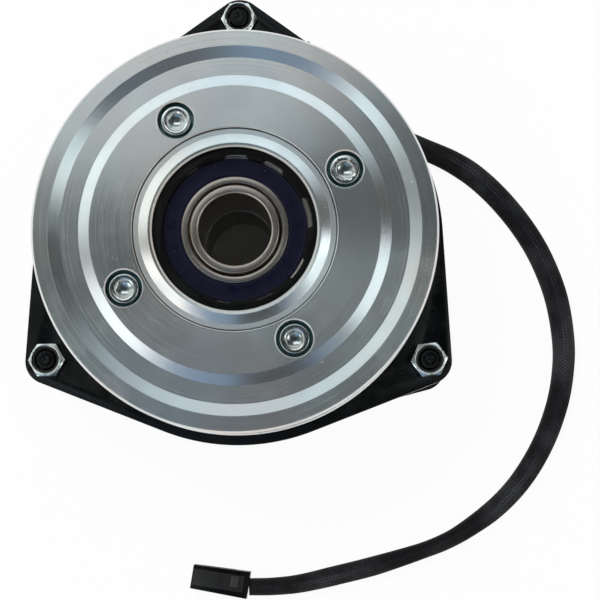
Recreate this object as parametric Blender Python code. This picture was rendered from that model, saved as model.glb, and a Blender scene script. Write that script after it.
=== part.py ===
"""Electric clutch and brake for the blade drive of a ride-on mower.

The clutch slides on a keyed engine shaft and drives one V-belt. From the bottom (z = 0) up:
the field plate with the coil cup, the keyed rotor that turns round the cup, the armature,
the brake plate on three studs, and the belt pulley on its own bearing. The turning axis is
vertical and stands AXIS_Y off the origin, because the ears make the outline longer on one side.
All lengths are in metres and all angles in degrees. Radii are measured from the turning axis.
"""
import math

import bmesh
import bpy
from mathutils import Matrix, Vector

# General values
CLEARANCE = 0.0003          # gap between two pieces that touch
CUT_OVERRUN = 0.0020        # how far a hole's guide runs past the piece that it cuts
FACETS_LARGE = 48           # faces round the pulley
FACETS_MEDIUM = 28          # faces round the field, rotor and armature
FACETS_SMALL = 20           # faces round bearings and rings
FACETS_FASTENER = 10        # faces round screws, studs and rivets

# Shaft bore and keyway
BORE_RADIUS = 0.0142875     # 1 1/8 inch shaft
KEY_WIDTH = 0.00635
KEY_DEPTH = 0.0032
SLEEVE_WALL = 0.0032

# Field plate, ears and anti-rotation tab
FIELD_PLATE_THICKNESS = 0.0032
FIELD_PLATE_RADIUS = 0.0770
FIELD_PLATE_HOLE = 0.0290
STUD_ROOM = 0.0118          # centre of a stud outside the pulley's rim, so that its nut clears it
STUD_ANGLES = (90.0, 212.6, 327.4)
EAR_RADIUS = 0.0095
TAB_ANGLE = 76.0
TAB_HALF_ANGLE = 6.0
TAB_REACH = 0.1015
TAB_ROOT = 0.0080           # how far the tab runs into the plate
TAB_SLOT_WIDTH = 0.0080
TAB_SLOT_LENGTH = 0.0125

# Field cup and coil
CUP_WEB = 0.0040
CUP_DEPTH = 0.0195
INNER_POLE_WALL = 0.0052
OUTER_POLE_WALL = 0.0045
CUP_RADIUS = 0.0605
CUP_HOLE = 0.0310
BOBBIN_WALL = 0.0015
COIL_HEIGHT = 0.0136
POTTING_THICKNESS = 0.0014

# Field bearing, 40 x 68 x 15
FIELD_BEARING_BORE = 0.0200
FIELD_BEARING_RADIUS = 0.0340
FIELD_BEARING_WIDTH = 0.0150
FIELD_BALL_RADIUS = 0.0043
FIELD_BALL_COUNT = 9

# Pulley bearing, 35 x 62 x 14
PULLEY_BEARING_RADIUS = 0.0310
PULLEY_BEARING_WIDTH = 0.0140
PULLEY_BALL_RADIUS = 0.00397
PULLEY_BALL_COUNT = 9

# Both bearings
RACE_WALL = 0.0033
GROOVE_SPARE = 0.0004       # room between a ball and its groove
SEAL_THICKNESS = 0.0014
SEAL_DEPTH = 0.0004         # how far a seal lies below the face of its bearing
CAGE_THICKNESS = 0.0024
CAGE_WIDTH = 0.0030

# Retaining rings
RING_THICKNESS = 0.0015
RING_GROOVE_DEPTH = 0.0018
RING_LIP = 0.0023           # how far a ring stands out of its groove

# Rotor
HUB_FOOT = 0.0006           # height of the hub's lower end above the field plate's back
HUB_FLANGE_RADIUS = 0.0270
HUB_FLANGE_THICKNESS = 0.0046
HUB_SEAT_RADIUS = 0.0240
ROTOR_DISC_THICKNESS = 0.0060
ROTOR_SKIRT_GAP = 0.0010
ROTOR_SKIRT_WALL = 0.0050
ROTOR_SKIRT_LENGTH = 0.0190
FRICTION_RING_INNER = 0.0445
FRICTION_RING_OUTER = 0.0515
FRICTION_RING_THICKNESS = 0.0017
SLOT_WIDTH = 0.0026
SLOTS_IN_ROW = 5
SLOT_HALF_ANGLE = 30.0

# Armature and its air gap to the rotor
AIR_GAP = 0.0005
ARMATURE_THICKNESS = 0.0060
ARMATURE_INNER = 0.0360
ARMATURE_SLOT_RADIUS = 0.0560
ARMATURE_SLOTS = 3
ARMATURE_SLOT_HALF_ANGLE = 25.0

# Leaf springs and their rivets
SPRING_THICKNESS = 0.0006
SPRING_WIDTH = 0.0080
SPRING_INSET = 0.0040       # from the armature's inner edge to the edge of a spring's end
SPRING_HALF_ANGLE = 22.0
SPRING_COUNT = 3
SPRING_START_ANGLE = 30.0
RIVET_RADIUS = 0.0019
RIVET_HEAD_RADIUS = 0.0034
RIVET_HEAD_THICKNESS = 0.0012
RIVET_PLAY = 0.0005         # lets the armature drop to the rotor
RIVET_RELIEF = 0.0016       # room round a rivet head in a relief hole
RIVET_GRIP = 0.0045         # how far a hub rivet reaches into the pulley hub

# Brake plate, pads, studs, springs and nuts
BRAKE_PAD_THICKNESS = 0.0022
BRAKE_PAD_INNER = 0.0555
BRAKE_PAD_OUTER = 0.0655
BRAKE_PAD_HALF_ANGLE = 22.0
BRAKE_PLATE_THICKNESS = 0.0032
BRAKE_PLATE_RADIUS = 0.0837
BRAKE_PLATE_GAP = 0.0030    # room between the plate's hole and the hub boss
STUD_RADIUS = 0.0039
STUD_COLLAR_RADIUS = 0.0062
STUD_COLLAR_HEIGHT = 0.0030
STUD_STANDOUT = 0.0004      # end of a stud above its nut
COIL_SPRING_WIRE = 0.0007   # radius of the wire
COIL_SPRING_TURNS = 6
COIL_SPRING_STEPS = 8
COIL_SPRING_SIDES = 4
NUT_FLATS = 0.0130
NUT_HEX_HEIGHT = 0.0052
NUT_COLLAR_RADIUS = 0.0061
NUT_COLLAR_HEIGHT = 0.0026
NUT_NOTCHES = 6
NYLON_WALL = 0.0011

# Pulley hub and rear flange
HUB_BOSS_MARGIN = 0.0020    # how far the hub boss reaches past the leaf springs
PULLEY_GAP = 0.0003         # room between the hub boss and a leaf spring
REAR_FLANGE_HEIGHT = 0.0532
RIM_THICKNESS = 0.0035
RIM_EDGE = 0.0005           # broken edge between the rim and the groove
WEB_FILLET = 0.0020
PULLEY_RADIUS = 0.0800
GROOVE_DEPTH = 0.0145
GROOVE_TOP_WIDTH = 0.0168
GROOVE_HALF_ANGLE = 17.0
BEARING_SHOULDER = 0.0023
BEARING_RECESS = 0.0040     # top of the bearing below the nose
NOSE_JOINT_RADIUS = 0.0399
NOSE_MOUTH_RADIUS = 0.0324
NOSE_CREST_RADIUS = 0.0350
NOSE_BEVEL_RADIUS = 0.0376
NOSE_BEVEL_DROP = 0.0009
NOSE_LIP_DROP = 0.0006
RIM_CHAMFER = 0.0008

# Front disc
FACE_BAND_DROP = 0.0011
RIM_LAND = 0.0067           # flat between the rim and the outer band
OUTER_BAND_WIDTH = 0.0046
MIDDLE_LAND = 0.0072        # flat between the two bands
INNER_BAND_WIDTH = 0.0043
SCREW_LAND = 0.0020         # metal between the nose ring and a counterbore
SCREW_COUNT = 4
SCREW_START_ANGLE = 28.5

# Cap screws
SCREW_HEAD_RADIUS = 0.0059
SCREW_HEAD_HEIGHT = 0.0058
SCREW_SHANK_RADIUS = 0.0030
SCREW_LENGTH = 0.0115
SCREW_SINK = 0.0008         # top of a head below the face
SOCKET_FLATS = 0.0060
SOCKET_DEPTH = 0.0032
COUNTERBORE_RADIUS = 0.0073
COUNTERBORE_CHAMFER = 0.0005

# Bearing retainer with a scalloped inner edge
RETAINER_THICKNESS = 0.0013
RETAINER_INNER = 0.0285
RETAINER_OUTER = 0.0327
RETAINER_NOTCHES = 9
RETAINER_NOTCH_DEPTH = 0.0022
RETAINER_NOTCH_HALF_ANGLE = 9.0

# Shaft sleeve in the pulley bearing
SLEEVE_STANDOUT = 0.0014    # end of the sleeve above the bearing
SLEEVE_CHAMFER = 0.0009
SLEEVE_SHOULDER = 0.0030

# Lead, its outlet and its connector
LEAD_RADIUS = 0.0040
OUTLET_ANGLE = 67.4
OUTLET_STANDOUT = 0.0072    # middle of the outlet outside the cup
OUTLET_LENGTH = 0.0160
OUTLET_WIDTH = 0.0115
OUTLET_HEIGHT = 0.0090
OUTLET_HEADING = -14.4
OUTLET_NECK = 0.0090
OUTLET_NECK_RADIUS = 0.0047
OUTLET_TIP_RADIUS = 0.0043
LEAD_POINT_SPACING = 0.0120
CONNECTOR_LENGTH = 0.0243
CONNECTOR_WIDTH = 0.0110
CONNECTOR_HEIGHT = 0.0092
CONNECTOR_WALL = 0.0013
CONNECTOR_CAVITY = 0.0140
CONNECTOR_HEADING = 171.0
LATCH_START = -0.0080       # ends of the latch, from the middle of the housing
LATCH_END = 0.0040
LATCH_WIDTH = 0.0052
LATCH_HEIGHT = 0.0010
TERMINAL_THICKNESS = 0.0008
TERMINAL_WIDTH = 0.0026
TERMINAL_LENGTH = 0.0110

# Route of the lead from its outlet to the connector, measured from the turning axis
LEAD_ROUTE = (
    (0.0428, 0.0582, 0.0083),
    (0.0550, 0.0552, 0.0082),
    (0.0670, 0.0511, 0.0080),
    (0.0790, 0.0462, 0.0066),
    (0.0917, 0.0410, 0.0050),
    (0.1022, 0.0341, 0.0043),
    (0.1125, 0.0231, 0.0042),
    (0.1224, 0.0099, 0.0042),
    (0.1296, -0.0037, 0.0042),
    (0.1349, -0.0199, 0.0042),
    (0.1380, -0.0377, 0.0042),
    (0.1378, -0.0516, 0.0042),
    (0.1350, -0.0654, 0.0042),
    (0.1292, -0.0804, 0.0042),
    (0.1212, -0.0945, 0.0042),
    (0.1117, -0.1059, 0.0042),
    (0.0992, -0.1153, 0.0042),
    (0.0841, -0.1242, 0.0042),
    (0.0598, -0.1330, 0.0042),
    (0.0402, -0.1377, 0.0042),
    (0.0245, -0.1419, 0.0044),
    (0.0130, -0.1433, 0.0046),
    (0.0036, -0.1418, 0.0046),
)

# Heights that follow from the values above
CUP_BOTTOM = FIELD_PLATE_THICKNESS + CLEARANCE
CUP_FLOOR = CUP_BOTTOM + CUP_WEB
CUP_TOP = CUP_FLOOR + CUP_DEPTH
BEARING_POCKET = FIELD_BEARING_RADIUS + CLEARANCE
INNER_POLE_RADIUS = BEARING_POCKET + INNER_POLE_WALL
OUTER_POLE_INNER = CUP_RADIUS - OUTER_POLE_WALL
FIELD_BEARING_BOTTOM = CUP_FLOOR + CLEARANCE
FIELD_BEARING_TOP = FIELD_BEARING_BOTTOM + FIELD_BEARING_WIDTH
BOBBIN_BOTTOM = CUP_FLOOR + CLEARANCE
COIL_BOTTOM = BOBBIN_BOTTOM + BOBBIN_WALL + CLEARANCE
COIL_TOP = COIL_BOTTOM + COIL_HEIGHT
BOBBIN_TOP = COIL_TOP + CLEARANCE + BOBBIN_WALL
HUB_SHOULDER = FIELD_BEARING_TOP + CLEARANCE
HUB_SEAT = HUB_SHOULDER + HUB_FLANGE_THICKNESS
ROTOR_DISC_BOTTOM = HUB_SEAT + CLEARANCE
ROTOR_FACE = ROTOR_DISC_BOTTOM + ROTOR_DISC_THICKNESS
HUB_TOP = ROTOR_FACE + CLEARANCE
ROTOR_SKIRT_INNER = CUP_RADIUS + ROTOR_SKIRT_GAP
ROTOR_RADIUS = ROTOR_SKIRT_INNER + ROTOR_SKIRT_WALL
ARMATURE_BOTTOM = ROTOR_FACE + AIR_GAP
ARMATURE_TOP = ARMATURE_BOTTOM + ARMATURE_THICKNESS
SPRING_BOTTOM = ARMATURE_TOP + CLEARANCE
SPRING_TOP = SPRING_BOTTOM + SPRING_THICKNESS
HUB_BOSS_BOTTOM = SPRING_TOP + PULLEY_GAP
BRAKE_PAD_BOTTOM = ARMATURE_TOP + CLEARANCE
BRAKE_PLATE_BOTTOM = BRAKE_PAD_BOTTOM + BRAKE_PAD_THICKNESS + CLEARANCE
BRAKE_PLATE_TOP = BRAKE_PLATE_BOTTOM + BRAKE_PLATE_THICKNESS
NUT_BOTTOM = BRAKE_PLATE_TOP + CLEARANCE
NUT_HEX_TOP = NUT_BOTTOM + NUT_HEX_HEIGHT
NUT_TOP = NUT_HEX_TOP + NUT_COLLAR_HEIGHT
STUD_HOLE = STUD_RADIUS + CLEARANCE

# Radii that follow from the values above
STUD_CIRCLE = PULLEY_RADIUS + STUD_ROOM
SPRING_CIRCLE = ARMATURE_INNER + SPRING_INSET + SPRING_WIDTH / 2
HUB_BOSS_RADIUS = SPRING_CIRCLE + SPRING_WIDTH / 2 + HUB_BOSS_MARGIN
BRAKE_PLATE_HOLE = HUB_BOSS_RADIUS + BRAKE_PLATE_GAP
OUTLET_CIRCLE = CUP_RADIUS + OUTLET_STANDOUT
SCREW_CIRCLE = NOSE_JOINT_RADIUS + SCREW_LAND + COUNTERBORE_RADIUS
CREST_EDGE = PULLEY_RADIUS - RIM_EDGE
GROOVE_BOTTOM = CREST_EDGE - GROOVE_DEPTH
OUTER_BAND_END = PULLEY_RADIUS - RIM_LAND
OUTER_BAND_START = OUTER_BAND_END - OUTER_BAND_WIDTH
INNER_BAND_END = OUTER_BAND_START - MIDDLE_LAND
INNER_BAND_START = INNER_BAND_END - INNER_BAND_WIDTH

# Belt groove and pulley face
GROOVE_FLARE = GROOVE_DEPTH * math.tan(math.radians(GROOVE_HALF_ANGLE))
REAR_RIM_TOP = REAR_FLANGE_HEIGHT + RIM_THICKNESS
GROOVE_LOW = REAR_RIM_TOP + GROOVE_FLARE
FRONT_RIM_BOTTOM = REAR_RIM_TOP + GROOVE_TOP_WIDTH
DISC_SEAT = FRONT_RIM_BOTTOM - GROOVE_FLARE
DISC_BOTTOM = DISC_SEAT + CLEARANCE
FACE_HEIGHT = FRONT_RIM_BOTTOM + RIM_THICKNESS + FACE_BAND_DROP
NOSE_TOP = FACE_HEIGHT + NOSE_BEVEL_DROP
PULLEY_BEARING_TOP = NOSE_TOP - BEARING_RECESS
PULLEY_BEARING_BOTTOM = PULLEY_BEARING_TOP - PULLEY_BEARING_WIDTH
PULLEY_BEARING_BORE = BORE_RADIUS + SLEEVE_WALL + CLEARANCE
HUB_BORE = PULLEY_BEARING_RADIUS + CLEARANCE
RETAINER_BOTTOM = PULLEY_BEARING_TOP + CLEARANCE
RETAINER_TOP = RETAINER_BOTTOM + RETAINER_THICKNESS
SLEEVE_TOP = PULLEY_BEARING_TOP + SLEEVE_STANDOUT
SLEEVE_STEP = PULLEY_BEARING_BOTTOM - CLEARANCE
SCREW_HEAD_TOP = FACE_HEIGHT - SCREW_SINK
SCREW_HEAD_BOTTOM = SCREW_HEAD_TOP - SCREW_HEAD_HEIGHT

# The axis stands off the origin so that the outline is centred on it
EAR_TIP = STUD_CIRCLE + EAR_RADIUS
AXIS_Y = (BRAKE_PLATE_RADIUS - EAR_TIP) / 2


def clear_scene():
    """Remove what the file holds at the start."""
    for old in list(bpy.data.objects):
        bpy.data.objects.remove(old, do_unlink=True)


def material(name, colour, roughness, metallic=0.0):
    """A plain finish with a colour, a roughness and a metallic value."""
    finish = bpy.data.materials.new(name)
    finish.use_nodes = True
    shader = finish.node_tree.nodes["Principled BSDF"]
    shader.inputs["Base Color"].default_value = (*colour, 1.0)
    shader.inputs["Roughness"].default_value = roughness
    shader.inputs["Metallic"].default_value = metallic
    return finish


def add_object(name, bm, finish, parent, sharp_angle=35.0):
    """Link a bmesh as an object, with its faces pointing out and its round sides smooth."""
    bmesh.ops.remove_doubles(bm, verts=bm.verts, dist=1e-7)
    bmesh.ops.recalc_face_normals(bm, faces=bm.faces)
    if bm.calc_volume(signed=True) < 0:
        bmesh.ops.reverse_faces(bm, faces=bm.faces)
    mesh = bpy.data.meshes.new(name)
    bm.to_mesh(mesh)
    bm.free()
    mesh.materials.append(finish)
    mesh.shade_smooth()
    mesh.set_sharp_from_angle(angle=math.radians(sharp_angle))
    piece = bpy.data.objects.new(name, mesh)
    bpy.context.scene.collection.objects.link(piece)
    piece.parent = parent
    return piece


def copy_object(name, piece, location, turn=0.0):
    """A further piece with the same mesh, moved and turned about Z under the same parent."""
    twin = bpy.data.objects.new(name, piece.data)
    bpy.context.scene.collection.objects.link(twin)
    twin.parent = piece.parent
    twin.location = location
    twin.rotation_euler = (0.0, 0.0, math.radians(turn))
    return twin


def cut(piece, cutter, operation="DIFFERENCE"):
    """Cut a piece with a hidden guide, or join the guide to it."""
    cutter.hide_render = True
    cutter.display_type = "WIRE"
    step = piece.modifiers.new(cutter.name, "BOOLEAN")
    step.operation = operation
    step.solver = "EXACT"
    step.object = cutter
    return piece


def copy_cut(piece, name, location, turn):
    """A further piece with the same mesh and its own copies of the guides that shape it."""
    twin = copy_object(name, piece, location, turn)
    for step in piece.modifiers:
        guide = bpy.data.objects.new(step.object.name + "_for_" + name, step.object.data)
        bpy.context.scene.collection.objects.link(guide)
        guide.parent = twin
        cut(twin, guide, step.operation)
    return twin


def polar(radius, angle, height=0.0):
    """A point at a radius and an angle in degrees about the turning axis."""
    turn = math.radians(angle)
    return Vector((radius * math.cos(turn), radius * math.sin(turn), height))


def turned(name, outline, finish, parent, facets=FACETS_MEDIUM, sharp_angle=35.0):
    """Turn a closed outline of (radius, height) points about the axis."""
    bm = bmesh.new()
    points = [bm.verts.new((radius, 0.0, height)) for radius, height in outline]
    sides = [bm.edges.new((points[i - 1], points[i])) for i in range(len(points))]
    bmesh.ops.spin(bm, geom=points + sides, cent=(0, 0, 0), axis=(0, 0, 1),
                   angle=math.tau, steps=facets, use_merge=True)
    return add_object(name, bm, finish, parent, sharp_angle)


def add_prism(bm, outline, bottom, top):
    """Extrude a closed outline of (x, y) points from bottom to top."""
    base = bm.faces.new([bm.verts.new((x, y, bottom)) for x, y in outline])
    raised = bmesh.ops.extrude_face_region(bm, geom=[base])
    lifted = [item for item in raised["geom"] if isinstance(item, bmesh.types.BMVert)]
    bmesh.ops.translate(bm, verts=lifted, vec=(0, 0, top - bottom))


def prism(name, outline, bottom, top, finish, parent):
    """One extruded outline as an object."""
    bm = bmesh.new()
    add_prism(bm, outline, bottom, top)
    return add_object(name, bm, finish, parent)


def circle(radius, facets=FACETS_FASTENER, centre=(0.0, 0.0)):
    """Points of a full circle."""
    return [(centre[0] + radius * math.cos(math.tau * i / facets),
             centre[1] + radius * math.sin(math.tau * i / facets)) for i in range(facets)]


def arc(radius, start, end, steps, centre=(0.0, 0.0)):
    """Points along an arc, both ends included."""
    points = []
    for i in range(steps + 1):
        turn = math.radians(start + (end - start) * i / steps)
        points.append((centre[0] + radius * math.cos(turn), centre[1] + radius * math.sin(turn)))
    return points


def ring_sector(inner, outer, middle, half_angle, steps=8):
    """Outline of a ring's sector, round its middle angle."""
    rim = arc(outer, middle - half_angle, middle + half_angle, steps)
    return rim + arc(inner, middle + half_angle, middle - half_angle, steps)


def cylinders(name, centres, radius, bottom, top, parent, facets=FACETS_FASTENER):
    """A hidden guide of upright cylinders for a set of holes."""
    bm = bmesh.new()
    for x, y in centres:
        add_prism(bm, circle(radius, facets, (x, y)), bottom, top)
    return add_object(name, bm, FINISH["steel"], parent)


def eared_outline(radius, ear_radius, tip_steps=6, arc_steps=10):
    """A round plate with an ear at each stud, whose flanks are tangent to both circles."""
    lean = math.degrees(math.acos((radius - ear_radius) / STUD_CIRCLE))
    points = []
    for i, angle in enumerate(STUD_ANGLES):
        tip = polar(STUD_CIRCLE, angle)
        points += arc(ear_radius, angle - lean, angle + lean, tip_steps, (tip.x, tip.y))
        following = STUD_ANGLES[(i + 1) % len(STUD_ANGLES)]
        span = (following - angle) % 360.0 - 2 * lean
        if span > 1.0:
            start = angle + lean
            points += arc(radius, start, start + span, arc_steps)
    return points


def stud_places():
    """Centres of the three studs."""
    return [tuple(polar(STUD_CIRCLE, angle).xy) for angle in STUD_ANGLES]


def spring_places(side):
    """Centres of the rivets at one end of the leaf springs: side is -1 or 1."""
    step = 360.0 / SPRING_COUNT
    return [tuple(polar(SPRING_CIRCLE, SPRING_START_ANGLE + i * step + side * SPRING_HALF_ANGLE).xy)
            for i in range(SPRING_COUNT)]


def screw_places():
    """Centres of the cap screws."""
    step = 360.0 / SCREW_COUNT
    return [tuple(polar(SCREW_CIRCLE, SCREW_START_ANGLE + i * step).xy) for i in range(SCREW_COUNT)]


def build_field_plate(axis):
    """Steel base plate with three ears for the studs and a slotted tab that stops it turning."""
    plate = prism("field_plate", eared_outline(FIELD_PLATE_RADIUS, EAR_RADIUS),
                  0.0, FIELD_PLATE_THICKNESS, FINISH["black_paint"], axis)
    tab = prism("tab_guide", ring_sector(FIELD_PLATE_RADIUS - TAB_ROOT, TAB_REACH, TAB_ANGLE, TAB_HALF_ANGLE),
                0.0, FIELD_PLATE_THICKNESS, FINISH["black_paint"], axis)
    cut(plate, tab, "UNION")
    below = -CUT_OVERRUN
    above = FIELD_PLATE_THICKNESS + CUT_OVERRUN
    slot = slot_outline(TAB_REACH - TAB_SLOT_LENGTH, TAB_REACH + 2 * CUT_OVERRUN, TAB_SLOT_WIDTH / 2)
    slot_guide = prism("tab_slot_guide", slot, below, above, FINISH["steel"], axis)
    slot_guide.rotation_euler = (0.0, 0.0, math.radians(TAB_ANGLE))
    cut(plate, slot_guide)
    cut(plate, cylinders("field_stud_holes", stud_places(), STUD_HOLE, below, above, axis))
    cut(plate, cylinders("field_shaft_hole", [(0.0, 0.0)], FIELD_PLATE_HOLE, below, above, axis,
                         FACETS_MEDIUM))


def slot_outline(start, end, half_width):
    """An open-ended slot along +X with a round inner end."""
    nose = arc(half_width, 90.0, 270.0, 8, (start + half_width, 0.0))
    return nose + [(end, -half_width), (end, half_width)]


def build_field_cup(axis):
    """Steel cup with an inner and an outer pole; the bearing sits in the inner one."""
    groove_low = FIELD_BEARING_TOP
    groove_high = groove_low + RING_THICKNESS + 2 * CLEARANCE
    groove_radius = BEARING_POCKET + RING_GROOVE_DEPTH
    outline = [
        (CUP_HOLE, CUP_BOTTOM),
        (CUP_RADIUS - 0.001, CUP_BOTTOM),
        (CUP_RADIUS, CUP_BOTTOM + 0.001),
        (CUP_RADIUS, CUP_TOP),
        (OUTER_POLE_INNER, CUP_TOP),
        (OUTER_POLE_INNER, CUP_FLOOR),
        (INNER_POLE_RADIUS, CUP_FLOOR),
        (INNER_POLE_RADIUS, CUP_TOP),
        (BEARING_POCKET, CUP_TOP),
        (BEARING_POCKET, groove_high),
        (groove_radius, groove_high),
        (groove_radius, groove_low),
        (BEARING_POCKET, groove_low),
        (BEARING_POCKET, CUP_FLOOR),
        (CUP_HOLE, CUP_FLOOR),
    ]
    turned("field_cup", outline, FINISH["black_paint"], axis)


def build_coil(axis):
    """Winding on its spool, with the resin that closes the cup."""
    tube = INNER_POLE_RADIUS + CLEARANCE
    rim = OUTER_POLE_INNER - CLEARANCE
    low = BOBBIN_BOTTOM + BOBBIN_WALL
    high = BOBBIN_TOP - BOBBIN_WALL
    spool = [(tube, BOBBIN_BOTTOM), (rim, BOBBIN_BOTTOM), (rim, low), (tube + BOBBIN_WALL, low),
             (tube + BOBBIN_WALL, high), (rim, high), (rim, BOBBIN_TOP), (tube, BOBBIN_TOP)]
    turned("coil_bobbin", spool, FINISH["moulding"], axis)
    core = tube + BOBBIN_WALL + CLEARANCE
    face = rim - 0.0006
    winding = [(core, COIL_BOTTOM), (face, COIL_BOTTOM), (face, COIL_TOP), (core, COIL_TOP)]
    turned("coil_winding", winding, FINISH["copper"], axis)
    resin_low = BOBBIN_TOP + CLEARANCE
    resin_high = resin_low + POTTING_THICKNESS
    resin = [(tube, resin_low), (rim, resin_low), (rim, resin_high), (tube, resin_high)]
    turned("potting_ring", resin, FINISH["moulding"], axis)


def race_outline(face, wall_sign, wall, bottom, top, pitch, ball):
    """Outline of a bearing ring: its plain side at face, its grooved side a wall further on."""
    track = face + wall_sign * wall
    middle = (bottom + top) / 2
    groove = ball + GROOVE_SPARE
    reach = abs(pitch - track)
    half = math.sqrt(groove * groove - reach * reach)
    points = [(face, bottom), (track, bottom)]
    steps = 3
    lean = math.asin(half / groove)
    for i in range(steps + 1):
        turn = -lean + 2 * lean * i / steps
        points.append((pitch - wall_sign * groove * math.cos(turn), middle + groove * math.sin(turn)))
    return points + [(track, top), (face, top)]


def build_bearing(prefix, axis, bore, radius, bottom, width, ball, count):
    """Sealed ball bearing: two rings, two seals and the balls in their cage."""
    top = bottom + width
    pitch = (bore + radius) / 2
    inner = race_outline(bore, 1, RACE_WALL, bottom, top, pitch, ball)
    outer = race_outline(radius, -1, RACE_WALL, bottom, top, pitch, ball)
    turned(prefix + "_inner_race", inner, FINISH["bearing_steel"], axis, FACETS_SMALL)
    turned(prefix + "_outer_race", outer, FINISH["bearing_steel"], axis, FACETS_SMALL)
    seal_inner = bore + RACE_WALL + CLEARANCE
    seal_outer = radius - RACE_WALL - CLEARANCE
    for label, low in (("lower", bottom + SEAL_DEPTH), ("upper", top - SEAL_DEPTH - SEAL_THICKNESS)):
        high = low + SEAL_THICKNESS
        seal = [(seal_inner, low), (seal_outer, low), (seal_outer, high), (seal_inner, high)]
        turned(prefix + "_seal_" + label, seal, FINISH["seal"], axis, FACETS_SMALL)
    middle = bottom + width / 2
    band = CAGE_THICKNESS / 2
    cage = [(pitch - band, middle - CAGE_WIDTH / 2), (pitch + band, middle - CAGE_WIDTH / 2),
            (pitch + band, middle + CAGE_WIDTH / 2), (pitch - band, middle + CAGE_WIDTH / 2)]
    holder = turned(prefix + "_cage", cage, FINISH["bearing_steel"], axis, FACETS_SMALL)
    bm = bmesh.new()
    for i in range(count):
        place = Matrix.Translation(polar(pitch, 360.0 * i / count, middle))
        bmesh.ops.create_uvsphere(bm, u_segments=6, v_segments=4, radius=ball, matrix=place)
    cut(holder, add_object(prefix + "_balls_guide", bm, FINISH["bearing_steel"], axis), "UNION")


def build_retaining_rings(axis):
    """Snap ring over the field bearing and circlip under it."""
    low = FIELD_BEARING_TOP + CLEARANCE
    groove = BEARING_POCKET + RING_GROOVE_DEPTH - CLEARANCE
    snap = ring_sector(BEARING_POCKET - RING_LIP, groove, 0.0, 168.0, 20)
    prism("field_snap_ring", snap, low, low + RING_THICKNESS, FINISH["spring_steel"], axis)
    high = FIELD_BEARING_BOTTOM - CLEARANCE
    bore = FIELD_BEARING_BORE - CLEARANCE
    clip = ring_sector(bore - RING_GROOVE_DEPTH + CLEARANCE, bore + RING_LIP, 180.0, 168.0, 20)
    prism("rotor_circlip", clip, high - RING_THICKNESS, high, FINISH["spring_steel"], axis)


def build_rotor_hub(axis):
    """Keyed hub that carries the rotor disc and runs in the field bearing."""
    body = FIELD_BEARING_BORE - CLEARANCE
    clip_high = FIELD_BEARING_BOTTOM
    clip_low = clip_high - RING_THICKNESS - 2 * CLEARANCE
    groove = body - RING_GROOVE_DEPTH
    outline = [
        (BORE_RADIUS, HUB_FOOT),
        (body - 0.0006, HUB_FOOT),
        (body, HUB_FOOT + 0.0006),
        (body, clip_low),
        (groove, clip_low),
        (groove, clip_high),
        (body, clip_high),
        (body, HUB_SHOULDER),
        (HUB_FLANGE_RADIUS, HUB_SHOULDER),
        (HUB_FLANGE_RADIUS, HUB_SEAT),
        (HUB_SEAT_RADIUS, HUB_SEAT),
        (HUB_SEAT_RADIUS, HUB_TOP),
        (BORE_RADIUS, HUB_TOP),
    ]
    hub = turned("rotor_hub", outline, FINISH["steel"], axis, FACETS_SMALL)
    reach = BORE_RADIUS + KEY_DEPTH
    slot = [(BORE_RADIUS / 2, -KEY_WIDTH / 2), (reach, -KEY_WIDTH / 2),
            (reach, KEY_WIDTH / 2), (BORE_RADIUS / 2, KEY_WIDTH / 2)]
    cut(hub, prism("keyway_guide", slot, -CUT_OVERRUN, HUB_TOP + CUT_OVERRUN, FINISH["steel"], axis))


def build_rotor_disc(axis):
    """Iron disc whose skirt runs outside the cup, with slots between its poles."""
    skirt_low = ROTOR_FACE - ROTOR_SKIRT_LENGTH
    seat = HUB_SEAT_RADIUS + CLEARANCE
    pocket = ROTOR_FACE - FRICTION_RING_THICKNESS - CLEARANCE
    outline = [
        (seat, ROTOR_DISC_BOTTOM),
        (ROTOR_SKIRT_INNER, ROTOR_DISC_BOTTOM),
        (ROTOR_SKIRT_INNER, skirt_low),
        (ROTOR_RADIUS, skirt_low),
        (ROTOR_RADIUS, ROTOR_FACE - 0.0008),
        (ROTOR_RADIUS - 0.0008, ROTOR_FACE),
        (FRICTION_RING_OUTER + CLEARANCE, ROTOR_FACE),
        (FRICTION_RING_OUTER + CLEARANCE, pocket),
        (FRICTION_RING_INNER - CLEARANCE, pocket),
        (FRICTION_RING_INNER - CLEARANCE, ROTOR_FACE),
        (seat, ROTOR_FACE),
    ]
    disc = turned("rotor_disc", outline, FINISH["steel"], axis)
    bm = bmesh.new()
    rows = (INNER_POLE_RADIUS + 0.0010, OUTER_POLE_INNER - SLOT_WIDTH - 0.0010)
    for row, start in enumerate(rows):
        for i in range(SLOTS_IN_ROW):
            middle = 360.0 * (i + row / 2) / SLOTS_IN_ROW
            outline = ring_sector(start, start + SLOT_WIDTH, middle, SLOT_HALF_ANGLE, 4)
            add_prism(bm, outline, ROTOR_DISC_BOTTOM - CUT_OVERRUN, ROTOR_FACE + CUT_OVERRUN)
    cut(disc, add_object("rotor_slots_guide", bm, FINISH["steel"], axis))
    ring_low = pocket + CLEARANCE
    ring = [(FRICTION_RING_INNER, ring_low), (FRICTION_RING_OUTER, ring_low),
            (FRICTION_RING_OUTER, ROTOR_FACE), (FRICTION_RING_INNER, ROTOR_FACE)]
    turned("friction_ring", ring, FINISH["friction"], axis)


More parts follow.
